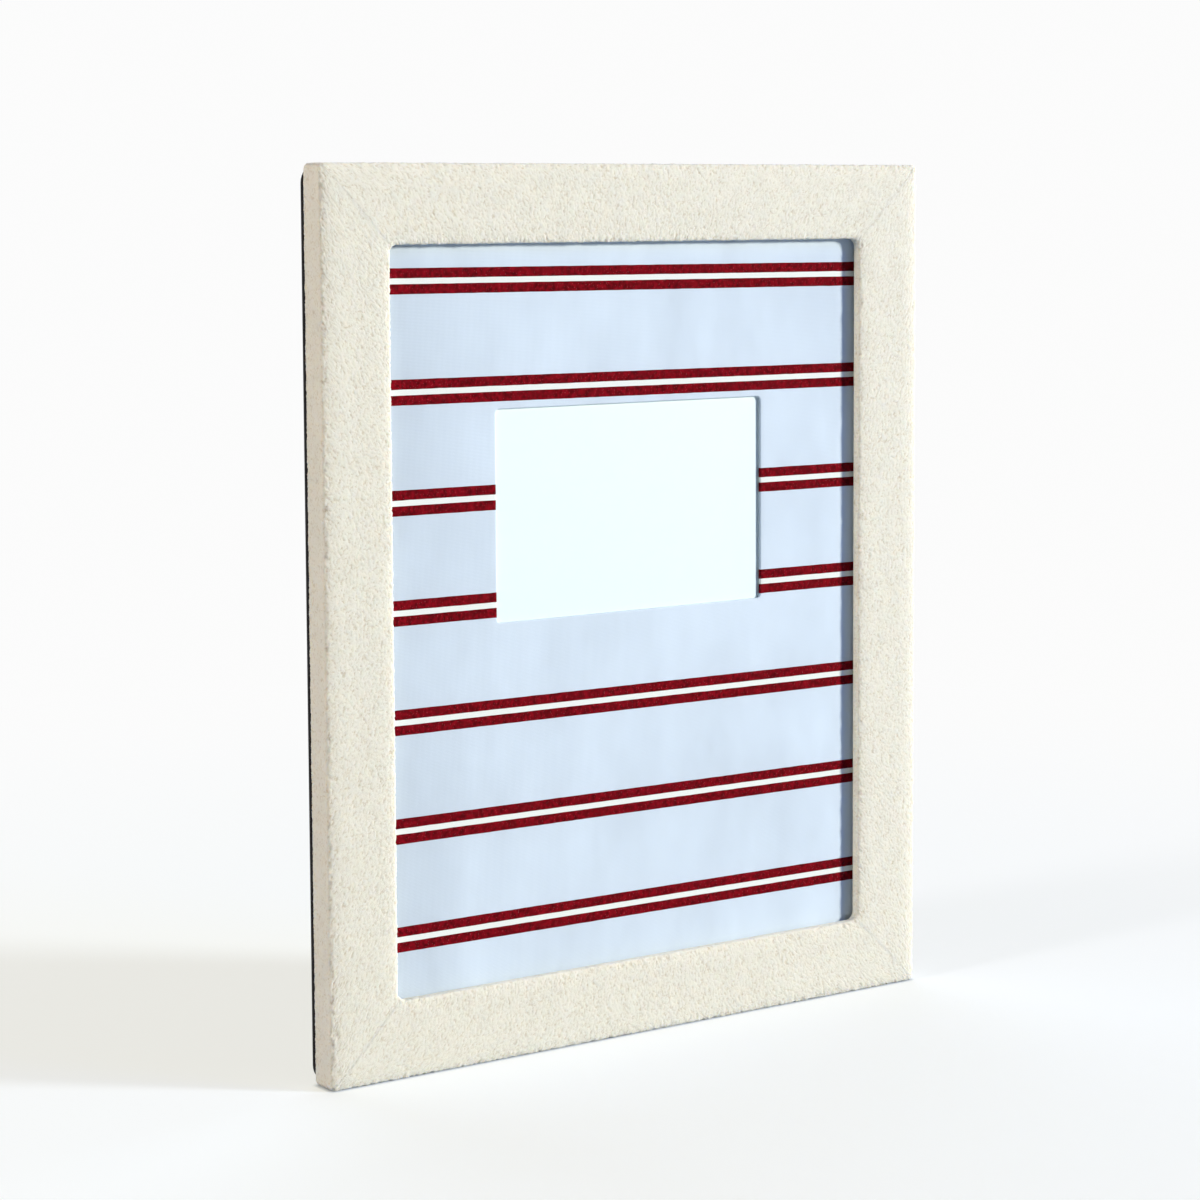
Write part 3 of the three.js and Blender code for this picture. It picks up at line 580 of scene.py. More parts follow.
def striped_cotton(mat):
    """Plain-woven cotton with dyed stripes, brushed on its face.

    The weave is too fine to show at its real 0.3 mm, so it is drawn at 0.6 mm. The dye is a little
    uneven: the ground has pale clouds, and the dark stripes have brighter threads. The ground is also
    painted darker towards its left edge, as painted shade beside the lip. The stripes' edges wander by
    a share of a millimetre.
    """
    weave, wander_cell, wander = 0.6 * MM, 6 * MM, 0.25 * MM
    cloud_cell, cloud_stretch = 32 * MM, (1, 1, 0.45)
    left_shade_start, left_shade_end = -126 * MM, -84 * MM
    thread_cell = 1.3 * MM
    pair = 2 * mat.stripe_width + mat.stripe_gap
    material, tree, place = start_material("striped_cotton_cloth")
    axes = add_node(tree, "SeparateXYZ", {0: place}).outputs
    drift = add_node(tree, "TexNoise", {"Vector": place, "Scale": 1 / wander_cell})
    sway = add_node(tree, "Math", {0: drift, 1: wander}, operation="MULTIPLY")
    level = add_node(tree, "Math", {0: axes["X"], 1: mat.stripe_fall, 2: axes["Z"]},
                     operation="MULTIPLY_ADD")
    height = add_node(tree, "Math", {0: level, 1: sway})
    fall = add_node(tree, "Math", {0: mat.first_stripe, 1: height}, operation="SUBTRACT")
    within = add_node(tree, "Math", {0: fall, 1: mat.pair_pitch}, operation="FLOORED_MODULO")
    in_pair = add_node(tree, "Math", {0: within, 1: pair}, operation="LESS_THAN")
    from_middle = add_node(tree, "Math", {0: within, 1: pair / 2}, operation="SUBTRACT")
    aside = add_node(tree, "Math", {0: from_middle}, operation="ABSOLUTE")
    in_line = add_node(tree, "Math", {0: aside, 1: mat.stripe_gap / 2}, operation="LESS_THAN")

    stretched = add_node(tree, "Mapping", {"Vector": place, "Scale": cloud_stretch})
    cloud = add_node(tree, "TexNoise", {"Vector": stretched, "Scale": 1 / cloud_cell,
                                        "Detail": 4.0, "Roughness": 0.6})
    cloud_level = add_node(tree, "MapRange", {"Value": cloud, "From Min": 0.3, "From Max": 0.7,
                                              "To Min": 0.92, "To Max": 1.05})
    # Painted shade: the ground is drawn darker towards its left edge, beside the lip
    fade = add_node(tree, "MapRange", {"Value": axes["X"], "From Min": left_shade_start, "From Max": left_shade_end,
                                       "To Min": 0.89, "To Max": 1.03})
    ground_level = add_node(tree, "Math", {0: cloud_level, 1: fade}, operation="MULTIPLY")
    ground = add_node(tree, "HueSaturation", {"Value": ground_level, "Color": opaque(mat.ground_colour)})
    thread = add_node(tree, "TexNoise", {"Vector": place, "Scale": 1 / thread_cell, "Detail": 3.0})
    thread_level = add_node(tree, "MapRange", {"Value": thread, "From Min": 0.35, "From Max": 0.65,
                                               "To Min": 0.5, "To Max": 1.4})
    dark = add_node(tree, "HueSaturation", {"Value": thread_level, "Color": opaque(mat.stripe_colour)})
    striped = add_node(tree, "Mix", {"Factor": in_line, COLOUR_A: dark, COLOUR_B: opaque(mat.line_colour)},
                       data_type="RGBA").outputs[MIXED]
    shown = add_node(tree, "Mix", {"Factor": in_pair, COLOUR_A: ground, COLOUR_B: striped},
                     data_type="RGBA").outputs[MIXED]

    warp, weft = [
        add_node(tree, "TexWave", {"Vector": place, "Scale": wave_scale(weave)},
                 bands_direction=axis).outputs["Fac"] for axis in "XZ"
    ]
    cross = add_node(tree, "Math", {0: warp, 1: weft}, operation="MULTIPLY")
    bump = add_node(tree, "Bump", {"Height": cross, "Strength": 0.35, "Distance": 0.12 * MM})
    end_material(tree, {"Base Color": shown, "Roughness": 0.9, "Specular IOR Level": 0.05, "Normal": bump})
    return material


def flecked(name, base, fleck, cell, roughness, bump_depth, sheen=0.0, specular=0.3):
    """Pressed or flocked sheet goods: a base colour with fine flecks that raise the surface a little."""
    material, tree, place = start_material(name)
    grain = add_node(tree, "TexNoise", {"Vector": place, "Scale": 1 / cell, "Detail": 4.0,
                                        "Roughness": 0.65})
    share = add_node(tree, "MapRange", {"Value": grain, "From Min": 0.4, "From Max": 0.68})
    shown = add_node(tree, "Mix", {"Factor": share, COLOUR_A: opaque(base), COLOUR_B: opaque(fleck)},
                     data_type="RGBA").outputs[MIXED]
    bump = add_node(tree, "Bump", {"Height": grain, "Strength": 0.5, "Distance": bump_depth})
    end_material(tree, {"Base Color": shown, "Roughness": roughness, "Specular IOR Level": specular,
                        "Sheen Weight": sheen, "Normal": bump})
    return material


def flocked_paper(back):
    """Black flocked paper on board: nearly all light sinks in, with a faint grey bloom seen aslant."""
    base = np.array(back.board_colour)
    fleck = base * 2.2
    return flecked("black_flocked_paper", base, fleck, 0.9 * MM, 0.92, 0.08 * MM, sheen=0.12, specular=0.15)


def fibreboard(_settings):
    """Bare medium-density fibreboard, pressed from brown wood fibre: even, dull, with darker flecks."""
    return flecked("pressed_fibreboard", linear("#B08D62"), linear("#8C6A44"), 1.6 * MM, 0.85, 0.05 * MM)


def mat_board(_settings):
    """White mat board of bleached pulp: dull and even, with the faintest tooth."""
    return flecked("white_mat_board", linear("#F3F2EC"), linear("#E6E4DA"), 1.2 * MM, 0.85, 0.03 * MM)


def grey_board(_settings):
    """Grey board of recycled pulp, with darker flecks."""
    return flecked("grey_pulp_board", linear("#9A948A"), linear("#7D776C"), 1.4 * MM, 0.9, 0.04 * MM)


def print_paper(_settings):
    """Blank photo paper, coated semi-gloss: bright white with an even, soft sheen."""
    return flecked("semigloss_photo_paper", linear("#F1FAFA"), linear("#EFF8F8"), 2.5 * MM, 0.45,
                   0.004 * MM)


def clear_acrylic(_settings):
    """Clear cast acrylic with an anti-reflection coating: light passes, with a faint gloss seen aslant.

    The coating cancels most of the usual 4% reflection, so the gloss follows a Fresnel curve of low IOR.
    """
    material, tree, _place = start_material("coated_clear_acrylic")
    clear = add_node(tree, "BsdfTransparent", {"Color": opaque(linear("#FCFEFE"))})
    gloss = add_node(tree, "BsdfGlossy", {"Roughness": 0.02})
    slant = add_node(tree, "Fresnel", {"IOR": 1.05})
    mixed = add_node(tree, "MixShader", {0: slant, 1: clear, 2: gloss})
    add_node(tree, "OutputMaterial", {"Surface": mixed})
    return material


def nickel_plate(back):
    """Nickel-plated stamped steel: a warm grey metal, with fine rolling lines that vary its gloss."""
    line_cell, line_stretch = 0.25 * MM, (1, 1, 0.08)
    material, tree, place = start_material("nickel_plated_steel")
    lines = add_node(tree, "Mapping", {"Vector": place, "Scale": line_stretch})
    grain = add_node(tree, "TexNoise", {"Vector": lines, "Scale": 1 / line_cell, "Detail": 2.0})
    gloss = add_node(tree, "MapRange", {"Value": grain, "To Min": 0.24, "To Max": 0.42})
    bump = add_node(tree, "Bump", {"Height": grain, "Strength": 0.12, "Distance": 0.02 * MM})
    end_material(tree, {"Base Color": opaque(back.metal_colour), "Metallic": 1.0, "Roughness": gloss,
                        "Normal": bump})
    return material


def satin_ribbon(back):
    """Black satin ribbon, woven with long floats: fine ribs along its length, and a soft gloss."""
    rib = 0.7 * MM
    material, tree, place = start_material("black_satin_ribbon")
    ribs = add_node(tree, "TexWave", {"Vector": place, "Scale": wave_scale(rib)},
                    bands_direction="Z").outputs["Fac"]
    level = add_node(tree, "MapRange", {"Value": ribs, "To Min": 0.85, "To Max": 1.5})
    shown = add_node(tree, "HueSaturation", {"Value": level, "Color": opaque(back.ribbon_colour)})
    bump = add_node(tree, "Bump", {"Height": ribs, "Strength": 0.4, "Distance": 0.06 * MM})
    end_material(tree, {"Base Color": shown, "Roughness": 0.42, "Sheen Weight": 0.2, "Normal": bump})
    return material


FINISHES = {
    "pile_cloth": (wool_pile, "frame_pile"),
    "striped_cotton": (striped_cotton, "frame_mat"),
    "black_board": (flocked_paper, "frame_back"),
    "fibreboard": (fibreboard, "frame_back"),
    "white_board": (mat_board, "frame_mat"),
    "grey_board": (grey_board, "frame_back"),
    "print_paper": (print_paper, "frame_mat"),
    "clear_acrylic": (clear_acrylic, "frame_mat"),
    "nickel_steel": (nickel_plate, "frame_back"),
    "black_ribbon": (satin_ribbon, "frame_back"),
}
made_finishes = {}


def finish(slot):
    """The material of a slot, made once from its settings."""
    if slot not in made_finishes:
        make, settings = FINISHES[slot]
        made_finishes[slot] = make(getattr(bpy.context.scene, settings))
    return made_finishes[slot]


class FinishSolids(bpy.types.Operator):
    """Gives every solid of the frame the material of its slot"""

    bl_idname = "photo_frame.finish_solids"
    bl_label = "Finish the solids"

    def execute(self, context):
        for row in frame["record"]["subparts"]:
            materials = frame["nodes"][row["node"]].data.materials
            materials.clear()
            materials.append(finish(row["material_slot"]))
        return {"FINISHED"}


# Pile cloth

def cover_section(cloth):
    """Section of the wrapped cloth as (inset, depth) points, from its back turn round to its turn-in.

    Straight runs join a quarter circle at the back edge and quarter ellipses at the front edge and the
    opening's edge, each a flat ellipse grown by the edge radius.
    """
    bend = 0.4 * MM
    edge_steps = 96
    front = np.array([cloth.front_width, cloth.front_depth])
    opening = np.array([cloth.opening_width, cloth.opening_depth])
    opening_centre = (cloth.rail_width - cloth.opening_width, cloth.opening_depth)
    return np.concatenate([
        [[cloth.back_turn, COVER_DEPTH]],
        arc((cloth.back_radius, COVER_DEPTH - cloth.back_radius), cloth.back_radius, 90, 180, 12),
        arc(front, front - cloth.edge_radius, 180, 270, edge_steps, grown=cloth.edge_radius),
        arc(opening_centre, opening - cloth.edge_radius, 270, 360, edge_steps, grown=cloth.edge_radius),
        arc((cloth.rail_width - bend, cloth.turn_in_depth - bend), bend, 0, 90, 4),
        [[cloth.rail_width - cloth.turn_in_width, cloth.turn_in_depth]],
    ])


def cover_steps(cloth, section):
    """Distances along the section: even on the pile that shows, and long where it is turned in."""
    lead = 2.5 * MM
    total = step_lengths(section).sum()
    first = cloth.back_turn - lead
    last = total - cloth.turn_in_width
    shown = np.linspace(first, last, round((last - first) / cloth.pitch) + 1)
    return np.concatenate([np.linspace(0, first, 4)[:-1], shown, np.linspace(last, total, 4)[1:]])


def cover_corner(cloth, inset):
    """Corner radius at an inset: the thick cloth softens the mitre, most at the front edge."""
    corners = [cloth.outer_corner, cloth.front_corner, cloth.opening_corner]
    return np.interp(inset, [0, cloth.front_width, cloth.rail_width], corners)


def pile_rise(points, cloth):
    """Height of the pile from 0 in the pits to 1 on the tips.

    Two layers of folded noise: the absolute value of a smooth noise leaves narrow curly creases
    between soft crests, and a second noise bends the creases. The peaks of a third noise are sparse
    deep pits.
    """
    crease, coarse_share, fine_share = 0.3, 0.55, 0.45
    pit_start, pit_end, pit_depth = 0.25, 0.5, 0.45
    bend_cell, fine_cell, pit_cell = np.array([1.3, 0.75, 1.5]) * cloth.curl_cell
    drawn = points / np.array([1, 1, cloth.curl_stretch])
    bend = np.stack([noise(drawn, bend_cell, seed) for seed in (11, 12, 13)], axis=-1)
    bent = drawn + cloth.curl_warp * bend
    coarse = np.clip(np.abs(noise(bent, cloth.curl_cell, 1)) / crease, 0, 1) ** 0.5
    fine = np.clip(np.abs(noise(bent, fine_cell, 2)) / crease, 0, 1) ** 0.5
    pits = smooth_step(noise(bent, pit_cell, 4), pit_start, pit_end)
    return (coarse_share * coarse + fine_share * fine) * (1 - pit_depth * pits)


def pile_sides(cloth):
    """The wrapped cloth as four grids, one to a side, that meet on the middle of each corner.

    The section is carried round the frame. Each point is then moved along its normal by the pile's
    rise, which grows with tufts where the section bends, fades where the cloth is turned in, and is
    pressed flat on the floor.
    """
    line = cover_section(cloth)
    section = even_steps(line, cover_steps(cloth, line))
    inset, depth = section.T
    aside = cloth.opening_shift * smooth_step(inset, cloth.front_width, cloth.rail_width)
    shift = np.stack([aside, 0 * inset], axis=-1)
    low = COVER_LOW[[0, 2]] + inset[:, None] - shift
    high = COVER_HIGH[[0, 2]] - inset[:, None] - shift
    corner_steps = 24
    side_steps = [round(span / cloth.pitch / 2) * 2 for span in (COVER_HIGH - COVER_LOW)[[0, 2]]]
    outline, outward = round_rectangle(low, high, cover_corner(cloth, inset), side_steps, corner_steps)
    base = layered(outline, FRONT_Y + depth, 1)
    along = unit(np.gradient(section, axis=0))
    normal = layered(-along[:, 1, None, None] * outward, -along[:, 0], 1)

    before, after = 2 * MM, 1.5 * MM
    run = run_along(section)
    turned_in = run[-1] - cloth.turn_in_width
    show = smooth_step(run, cloth.back_turn - before, cloth.back_turn + after)
    show *= 1 - smooth_step(run, turned_in - before, turned_in)
    rise = pile_rise(base, cloth)
    heading = np.unwrap(np.arctan2(along[:, 1], along[:, 0]))
    bend = np.clip(np.abs(np.gradient(heading, run)) * cloth.bloom_radius, 0, 1)
    spread_rows = 9
    edge = np.convolve(bend, np.ones(spread_rows) / spread_rows, "same")[:, None]
    lift = (1 + cloth.edge_bloom * edge) * (cloth.tip_rise - cloth.pile_height * (1 - rise))
    swell = cloth.loft * noise(base, cloth.loft_cell, 3)
    tufts = cloth.tuft_height * edge * noise(base, cloth.tuft_cell, 5)
    lift += swell + tufts
    points = base + normal * (lift * show[:, None])[..., None]
    points[..., 2] = np.maximum(points[..., 2], COVER_LOW[2])
    points[..., 1] = np.minimum(points[..., 1], FRONT_Y + COVER_DEPTH)

    start = corner_steps // 2
    for k, name in enumerate(["right", "top", "left", "bottom"]):
        end = start + corner_steps + side_steps[(k + 1) % 2]
        pick = np.arange(start, end + 1) % outline.shape[1]
        yield name, base[:, pick], points[:, pick], rise[:, pick]
        start = end


class WrapPile(bpy.types.Operator):
    """Wraps the rails in curly pile cloth, one grid to a side"""

    bl_idname = "photo_frame.wrap_pile"
    bl_label = "Wrap the pile cloth"

    def execute(self, context):
        for name, base, points, rise in pile_sides(context.scene.frame_pile):
            piece = grid_piece(f"pile_cloth_{name}", points, "pile_cloth")
            attribute = piece.data.attributes.new("pile_rise", "FLOAT", "POINT")
            attribute.data.foreach_set("value", rise.astype(np.float32).ravel())
            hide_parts("pile_cover")
            cut_length = float(np.ptp(base, axis=(0, 1)).max())
            cut_width = step_lengths(base[:, base.shape[1] // 2]).sum()
            min(grid_area(base), cut_width * cut_length)
            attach(piece, "frame")
        return {"FINISHED"}


# Mat

def mat_points(mat):
    """The mat as one grid, from its outer edge in to the window, over the fold and behind the board.

    Outside the fold a row is a share of the way from the sheet's outline to the window's. The fold is
    a quarter circle, and the wall and hem follow the window's outline at a margin.
    """
    sheet_corner, hem_bend = 0.6 * MM, 0.5 * MM
    flat_rows, steps = 24, ([70, 60], 8)
    low, high = node_box("mat_cloth")
    print_low, print_high = node_box("photo_print")
    window_low = print_low[[0, 2]] + mat.window_overlap
    window_high = print_high[[0, 2]] - mat.window_overlap
    outer, _ = round_rectangle(low[[0, 2]], high[[0, 2]], np.array(sheet_corner), *steps)
    fold = arc((mat.fold_radius, mat.fold_radius), mat.fold_radius, 270, 180, 6)
    wall = high[1] - low[1]
    margin = np.concatenate([fold[:, 0], [0, 0, hem_bend, mat.hem]])
    depth = np.concatenate([fold[:, 1], [wall / 2, wall - hem_bend, wall, wall]])
    grown = margin[:, None]
    near, _ = round_rectangle(window_low - grown, window_high + grown, mat.window_corner + margin, *steps)
    share = np.linspace(0, 1, flat_rows + 1)[:-1, None, None]
    flat = outer + (near[0] - outer) * share
    depths = np.concatenate([np.zeros(flat_rows), depth])
    return layered(np.concatenate([flat, near]), low[1] + depths, 1)


class LayMat(bpy.types.Operator):
    """Lays the striped cloth over the mat board and folds it into the window"""

    bl_idname = "photo_frame.lay_mat"
    bl_label = "Lay the striped mat"

    def execute(self, context):
        points = mat_points(context.scene.frame_mat)
        piece = grid_piece("striped_mat", points, "striped_cotton", wrap_columns=True)
        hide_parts("mat_cloth")
        low, high = node_box("mat_cloth")
        grid_area(points)
        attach(piece, "frame")
        return {"FINISHED"}


# Back trim and strut

def trim_points(back):
    """The trim as a closed grid: a rectangular section with rounded edges, carried round the frame.

    A section point is (inset, depth), and its outline has the trim's corner radius less the inset.
    """
    tightest = 0.6 * MM
    low, high = node_box("back_trim")
    width = node_box("backing_board")[0][0] - back.trim_gap - low[0]
    depth = high[1] - low[1]
    edge = back.board_edge
    section = np.concatenate([
        arc((edge, edge), edge, 270, 180, 5),
        arc((edge, depth - edge), edge, 180, 90, 5),
        arc((width - edge, depth - edge), edge, 90, 0, 5),
        arc((width - edge, edge), edge, 0, -90, 5),
    ])
    inset = section[:, :1]
    radius = np.maximum(back.trim_corner - section[:, 0], tightest)
    outline, _ = round_rectangle(low[[0, 2]] + inset, high[[0, 2]] - inset, radius, [40, 48], 8)
    return layered(outline, low[1] + section[:, 1], 1)


class FitTrim(bpy.types.Operator):
    """Fits the black papered trim round the back"""

    bl_idname = "photo_frame.fit_trim"
    bl_label = "Fit the back trim"

    def execute(self, context):
        points = trim_points(context.scene.frame_back)
        piece = grid_piece("papered_trim", points, "black_board", wrap_rows=True, wrap_columns=True)
        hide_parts("back_trim")
        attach(piece, "frame")
        return {"FINISHED"}


class FitStrut(bpy.types.Operator):
    """Makes the folding strut, a papered board with a relieved foot"""

    bl_idname = "photo_frame.fit_strut"
    bl_label = "Fit the strut"

    def execute(self, context):
        back = context.scene.frame_back
        low, high = node_box("strut_board")
        toe = high[1] - back.strut_toe
        foot = back.strut_relief / 2
        outline = rounded_corners([
            (low[1], low[2] + back.strut_relief, foot),
            (toe - back.strut_relief, low[2] + back.strut_relief, foot),
            (toe, low[2], foot),
            (high[1], low[2], back.strut_corner),
            (high[1], low[2] + back.strut_toe_height, back.strut_corner),
            (HINGE_AXIS.y + back.strut_top, high[2], back.strut_corner),
            (low[1], high[2], back.strut_corner),
        ])
        plate = rounded_plate(outline, low[0], high[0], back.board_edge)
        board = placed(plate, (0, 0, 0), [(0, 1, 0), (0, 0, 1), (1, 0, 0)])
        solid_piece("papered_strut", board, "black_board", "strut", "strut_board")
        return {"FINISHED"}


# Hardware

INWARD = {"bottom": (0, 0, 1), "right": (-1, 0, 0), "top": (0, 0, -1), "left": (1, 0, 0)}
HINGES = ("lower_hinge", "upper_hinge")
RIVET_HEAD, RIVET_SHANK = 0.6 * MM, 1.1 * MM
NAIL_SHANK = 0.9 * MM


def pin_head(low, high, direction, head_height, shank_radius):
    """A domed head on a plain shank that fills a solid's box, its head towards the direction."""
    direction = np.array(direction, float)
    axis = int(np.abs(direction).argmax())
    span = high - low
    seat = (low + high) / 2 + direction * (span[axis] / 2 - head_height)
    head = dome_profile(span[(axis + 1) % 3] / 2, head_height, head_height / 4)
    profile = on_shank(head, shank_radius, span[axis] - head_height)
    side = np.roll(direction, 1)
    return placed(turned(profile, 32), seat, [side, np.cross(direction, side), direction])


def rivet_tail(low, high):
    """The clenched tail of a rivet, a low dome on the strut's outer face."""
    radius, height, rim = 1.9 * MM, 0.45 * MM, 0.1 * MM
    middle = (low + high) / 2
    outside = node_box("strut_board")[0][0]
    dome = turned(dome_profile(radius, height, rim), 32)
    return placed(dome, (outside, middle[1], middle[2]), [(0, 1, 0), (0, 0, -1), (-1, 0, 0)])


def hinge_pin(low, high):
    """A plain pin with rounded ends, turned round its upright axis."""
    radius = (high[0] - low[0]) / 2
    ease = 0.25 * MM
    bottom = arc((radius - ease, low[2] + ease), ease, -90, 0, 4)
    top = arc((radius - ease, high[2] - ease), ease, 0, 90, 4)
    profile = np.concatenate([[[0, low[2]]], bottom, top, [[0, high[2]]]])
    return placed(turned(profile, 24), (*HINGE_AXIS[:2], 0), np.eye(3))


def hinge_leaf(back, low, high, axes, outer):
    """A leaf whose edge is rolled into knuckles round the hinge axis.

    In the leaf's own axes, reach from the axis, offset from it and height, the flat part is a rounded
    plate with notches for the other leaf's knuckles. Each knuckle is a strip that follows most of a
    circle. The outer leaf has the knuckles at both ends, and the other one has the middle knuckle.
    """
    thickness, inner_corner, knuckle_edge = 0.8 * MM, 0.5 * MM, 0.1 * MM
    roll_start, roll_end = -90, -400
    axes = np.array(axes, float)
    axis = np.array(HINGE_AXIS)
    reach = (high - axis) @ axes[0]
    offset = (low - axis) @ axes[1]
    bottom, top = low[2], high[2]
    third = (top - bottom) / 3
    gap = back.knuckle_gap / 2 * (1 if outer else -1)
    lower, upper = bottom + third - gap, top - third + gap
    notch = back.knuckle_outside + 2 * back.knuckle_gap
    ends, middle = (0, notch) if outer else (notch, 0)
    edge = [(ends, top), (ends, upper), (middle, upper), (middle, lower), (ends, lower), (ends, bottom)]
    outline = rounded_corners([(reach, bottom, back.leaf_corner), (reach, top, back.leaf_corner),
                               *[(*corner, inner_corner) for corner in edge]])
    plate = rounded_plate(outline, offset, offset + thickness, back.metal_edge)
    origin = (axis[0], axis[1], 0)
    shapes = [placed(plate, origin, [axes[0], axes[2], axes[1]])]
    inside = back.knuckle_outside - back.knuckle_wall
    roll = np.concatenate([arc((0, 0), back.knuckle_outside, roll_start, roll_end, 48),
                           arc((0, 0), inside, roll_end, roll_start, 48)])
    for knuckle in [(bottom, lower), (upper, top)] if outer else [(lower, upper)]:
        shapes.append(placed(rounded_plate(roll, *knuckle, knuckle_edge), origin, axes))
    return together(shapes)


class HangHinges(bpy.types.Operator):
    """Makes the strut's butt hinges: leaves with rolled knuckles, pins and rivets"""

    bl_idname = "photo_frame.hang_hinges"
    bl_label = "Hang the hinges"

    def execute(self, context):
        back = context.scene.frame_back
        axes = {"fixed": [(1, 0, 0), (0, 1, 0), (0, 0, 1)], "strut": [(0, 1, 0), (1, 0, 0), (0, 0, 1)]}
        bodies = {"fixed": "frame", "strut": "strut"}
        for hinge, side in itertools.product(HINGES, axes):
            node = f"{hinge}_{side}_leaf"
            shape = hinge_leaf(back, *node_box(node), axes[side], outer=side == "fixed")
            solid_piece(f"{hinge}_{side}_plate", shape, "nickel_steel", bodies[side], node)
        pins = [f"{hinge}_pin" for hinge in HINGES]
        shapes = [hinge_pin(*node_box(pin)) for pin in pins]
        solid_piece("hinge_pins", together(shapes), "nickel_steel", "frame", *pins)
        ribbon_ends = {"fixed": "ribbon_rivet_backing", "strut": "ribbon_rivet_strut"}
        for side, direction in {"fixed": (0, 1, 0), "strut": (1, 0, 0)}.items():
            rivets = [rivet for hinge in HINGES for rivet in node_names(f"{hinge}_{side}_rivet")]
            rivets.append(ribbon_ends[side])
            shapes = [pin_head(*node_box(rivet), direction, RIVET_HEAD, RIVET_SHANK) for rivet in rivets]
            if side == "strut":
                shapes += [rivet_tail(*node_box(rivet)) for rivet in rivets]
            solid_piece(f"{bodies[side]}_rivets", together(shapes), "nickel_steel", bodies[side], *rivets)
        return {"FINISHED"}


def screw_head(back, low, high):
    """A pan head on its shank: a domed profile turned round, with a cross pressed into its top.

    The cross lowers a point by depth (1 - smooth step of its distance from the nearer arm), and fades
    out at its reach.
    """
    height, rim, shank = 1.2 * MM, 0.4 * MM, 1.4 * MM
    arm_floor, arm_end = 0.6, 0.85
    seat = high[1] - height
    head = dome_profile((high[0] - low[0]) / 2, height, rim, steps=14)
    vertices, faces = turned(on_shank(head, shank, seat - low[1]), 64)
    across = np.abs(vertices[:, :2])
    half_arm = back.recess_width / 2
    pressed = 1 - smooth_step(across.min(axis=1), arm_floor * half_arm, half_arm)
    pressed *= 1 - smooth_step(across.max(axis=1), arm_end * back.recess_reach, back.recess_reach)
    vertices[:, 2] -= back.recess_depth * pressed * (vertices[:, 2] > rim)
    middle = (low + high) / 2
    return placed((vertices, faces), (middle[0], seat, middle[2]), [(1, 0, 0), (0, 0, -1), (0, 1, 0)])


class FitButtons(bpy.types.Operator):
    """Makes the turn buttons and their cross-recessed screws"""

    bl_idname = "photo_frame.fit_buttons"
    bl_label = "Fit the turn buttons"

    def execute(self, context):
        back = context.scene.frame_back
        for node in node_names("turn_button_"):
            place = node.removeprefix("turn_button_")
            tongue = np.array(INWARD[place.split("_")[0]], float)
            low, high = node_box(node)
            reach = float(np.abs((high - low) @ tongue)) - back.button_pivot
            pivot = (low + high) / 2 - tongue * (reach - back.button_pivot) / 2
            pivot[1] = 0
            outline = np.concatenate([
                arc((0, 0), back.button_pivot, 180, 360, 28),
                arc((0, reach - back.button_tip), back.button_tip, 0, 180, 24),
            ])
            plate = rounded_plate(outline, low[1], high[1], back.metal_edge)
            shape = placed(plate, pivot, [np.cross((0, 1, 0), tongue), tongue, (0, 1, 0)])
            solid_piece(f"button_plate_{place}", shape, "nickel_steel", f"button_{place}", node)
        screws = node_names("button_screw_")
        heads = together([screw_head(back, *node_box(screw)) for screw in screws])
        solid_piece("button_screw_heads", heads, "nickel_steel", "frame", *screws)
        return {"FINISHED"}


class FitHanger(bpy.types.Operator):
    """Makes the sawtooth hanger and its two nails"""

    bl_idname = "photo_frame.fit_hanger"
    bl_label = "Fit the hanger"

    def execute(self, context):
        back = context.scene.frame_back
        corner, tooth_round, edge = 1.2 * MM, 0.4 * MM, 0.1 * MM
        low, high = node_box("sawtooth_hanger")
        run = high[0] - low[0] - 2 * back.tooth_margin
        flanks = 2 * back.tooth_count
        places = low[0] + back.tooth_margin + run * np.arange(flanks + 1) / flanks
        heights = low[2] + np.where(np.arange(flanks + 1) % 2, back.tooth_depth, 0)
        outline = rounded_corners([
            (low[0], high[2], corner), (low[0], low[2], corner),
            *[(x, z, tooth_round) for x, z in zip(places, heights)],
            (high[0], low[2], corner), (high[0], high[2], corner),
        ], steps=3)
        plate = rounded_plate(outline, low[1], high[1], edge)
        strip = placed(plate, (0, 0, 0), [(1, 0, 0), (0, 0, 1), (0, 1, 0)])
        solid_piece("toothed_hanger", strip, "nickel_steel", "frame", "sawtooth_hanger")
        nails = node_names("hanger_nail_")
        heads = [pin_head(*node_box(nail), (0, 1, 0), RIVET_HEAD, NAIL_SHANK) for nail in nails]
        solid_piece("hanger_nail_heads", together(heads), "nickel_steel", "frame", *nails)
        return {"FINISHED"}


# Ribbon

def ribbon_line():
    """Corners of the ribbon seen from above: a tab on the backing, the taut span, a tab on the strut."""
    off_board = 0.45 * MM
    low, high = node_box("ribbon_stay")
    rivet_low, rivet_high = node_box("ribbon_rivet_backing")
    tab = 2 * (high[0] - (rivet_low[0] + rivet_high[0]) / 2)
    near_backing = low[1] + off_board
    near_strut = low[0] + off_board
    return np.array([(high[0], near_backing), (high[0] - tab, near_backing),
                     (near_strut, high[1] - tab), (near_strut, high[1])])


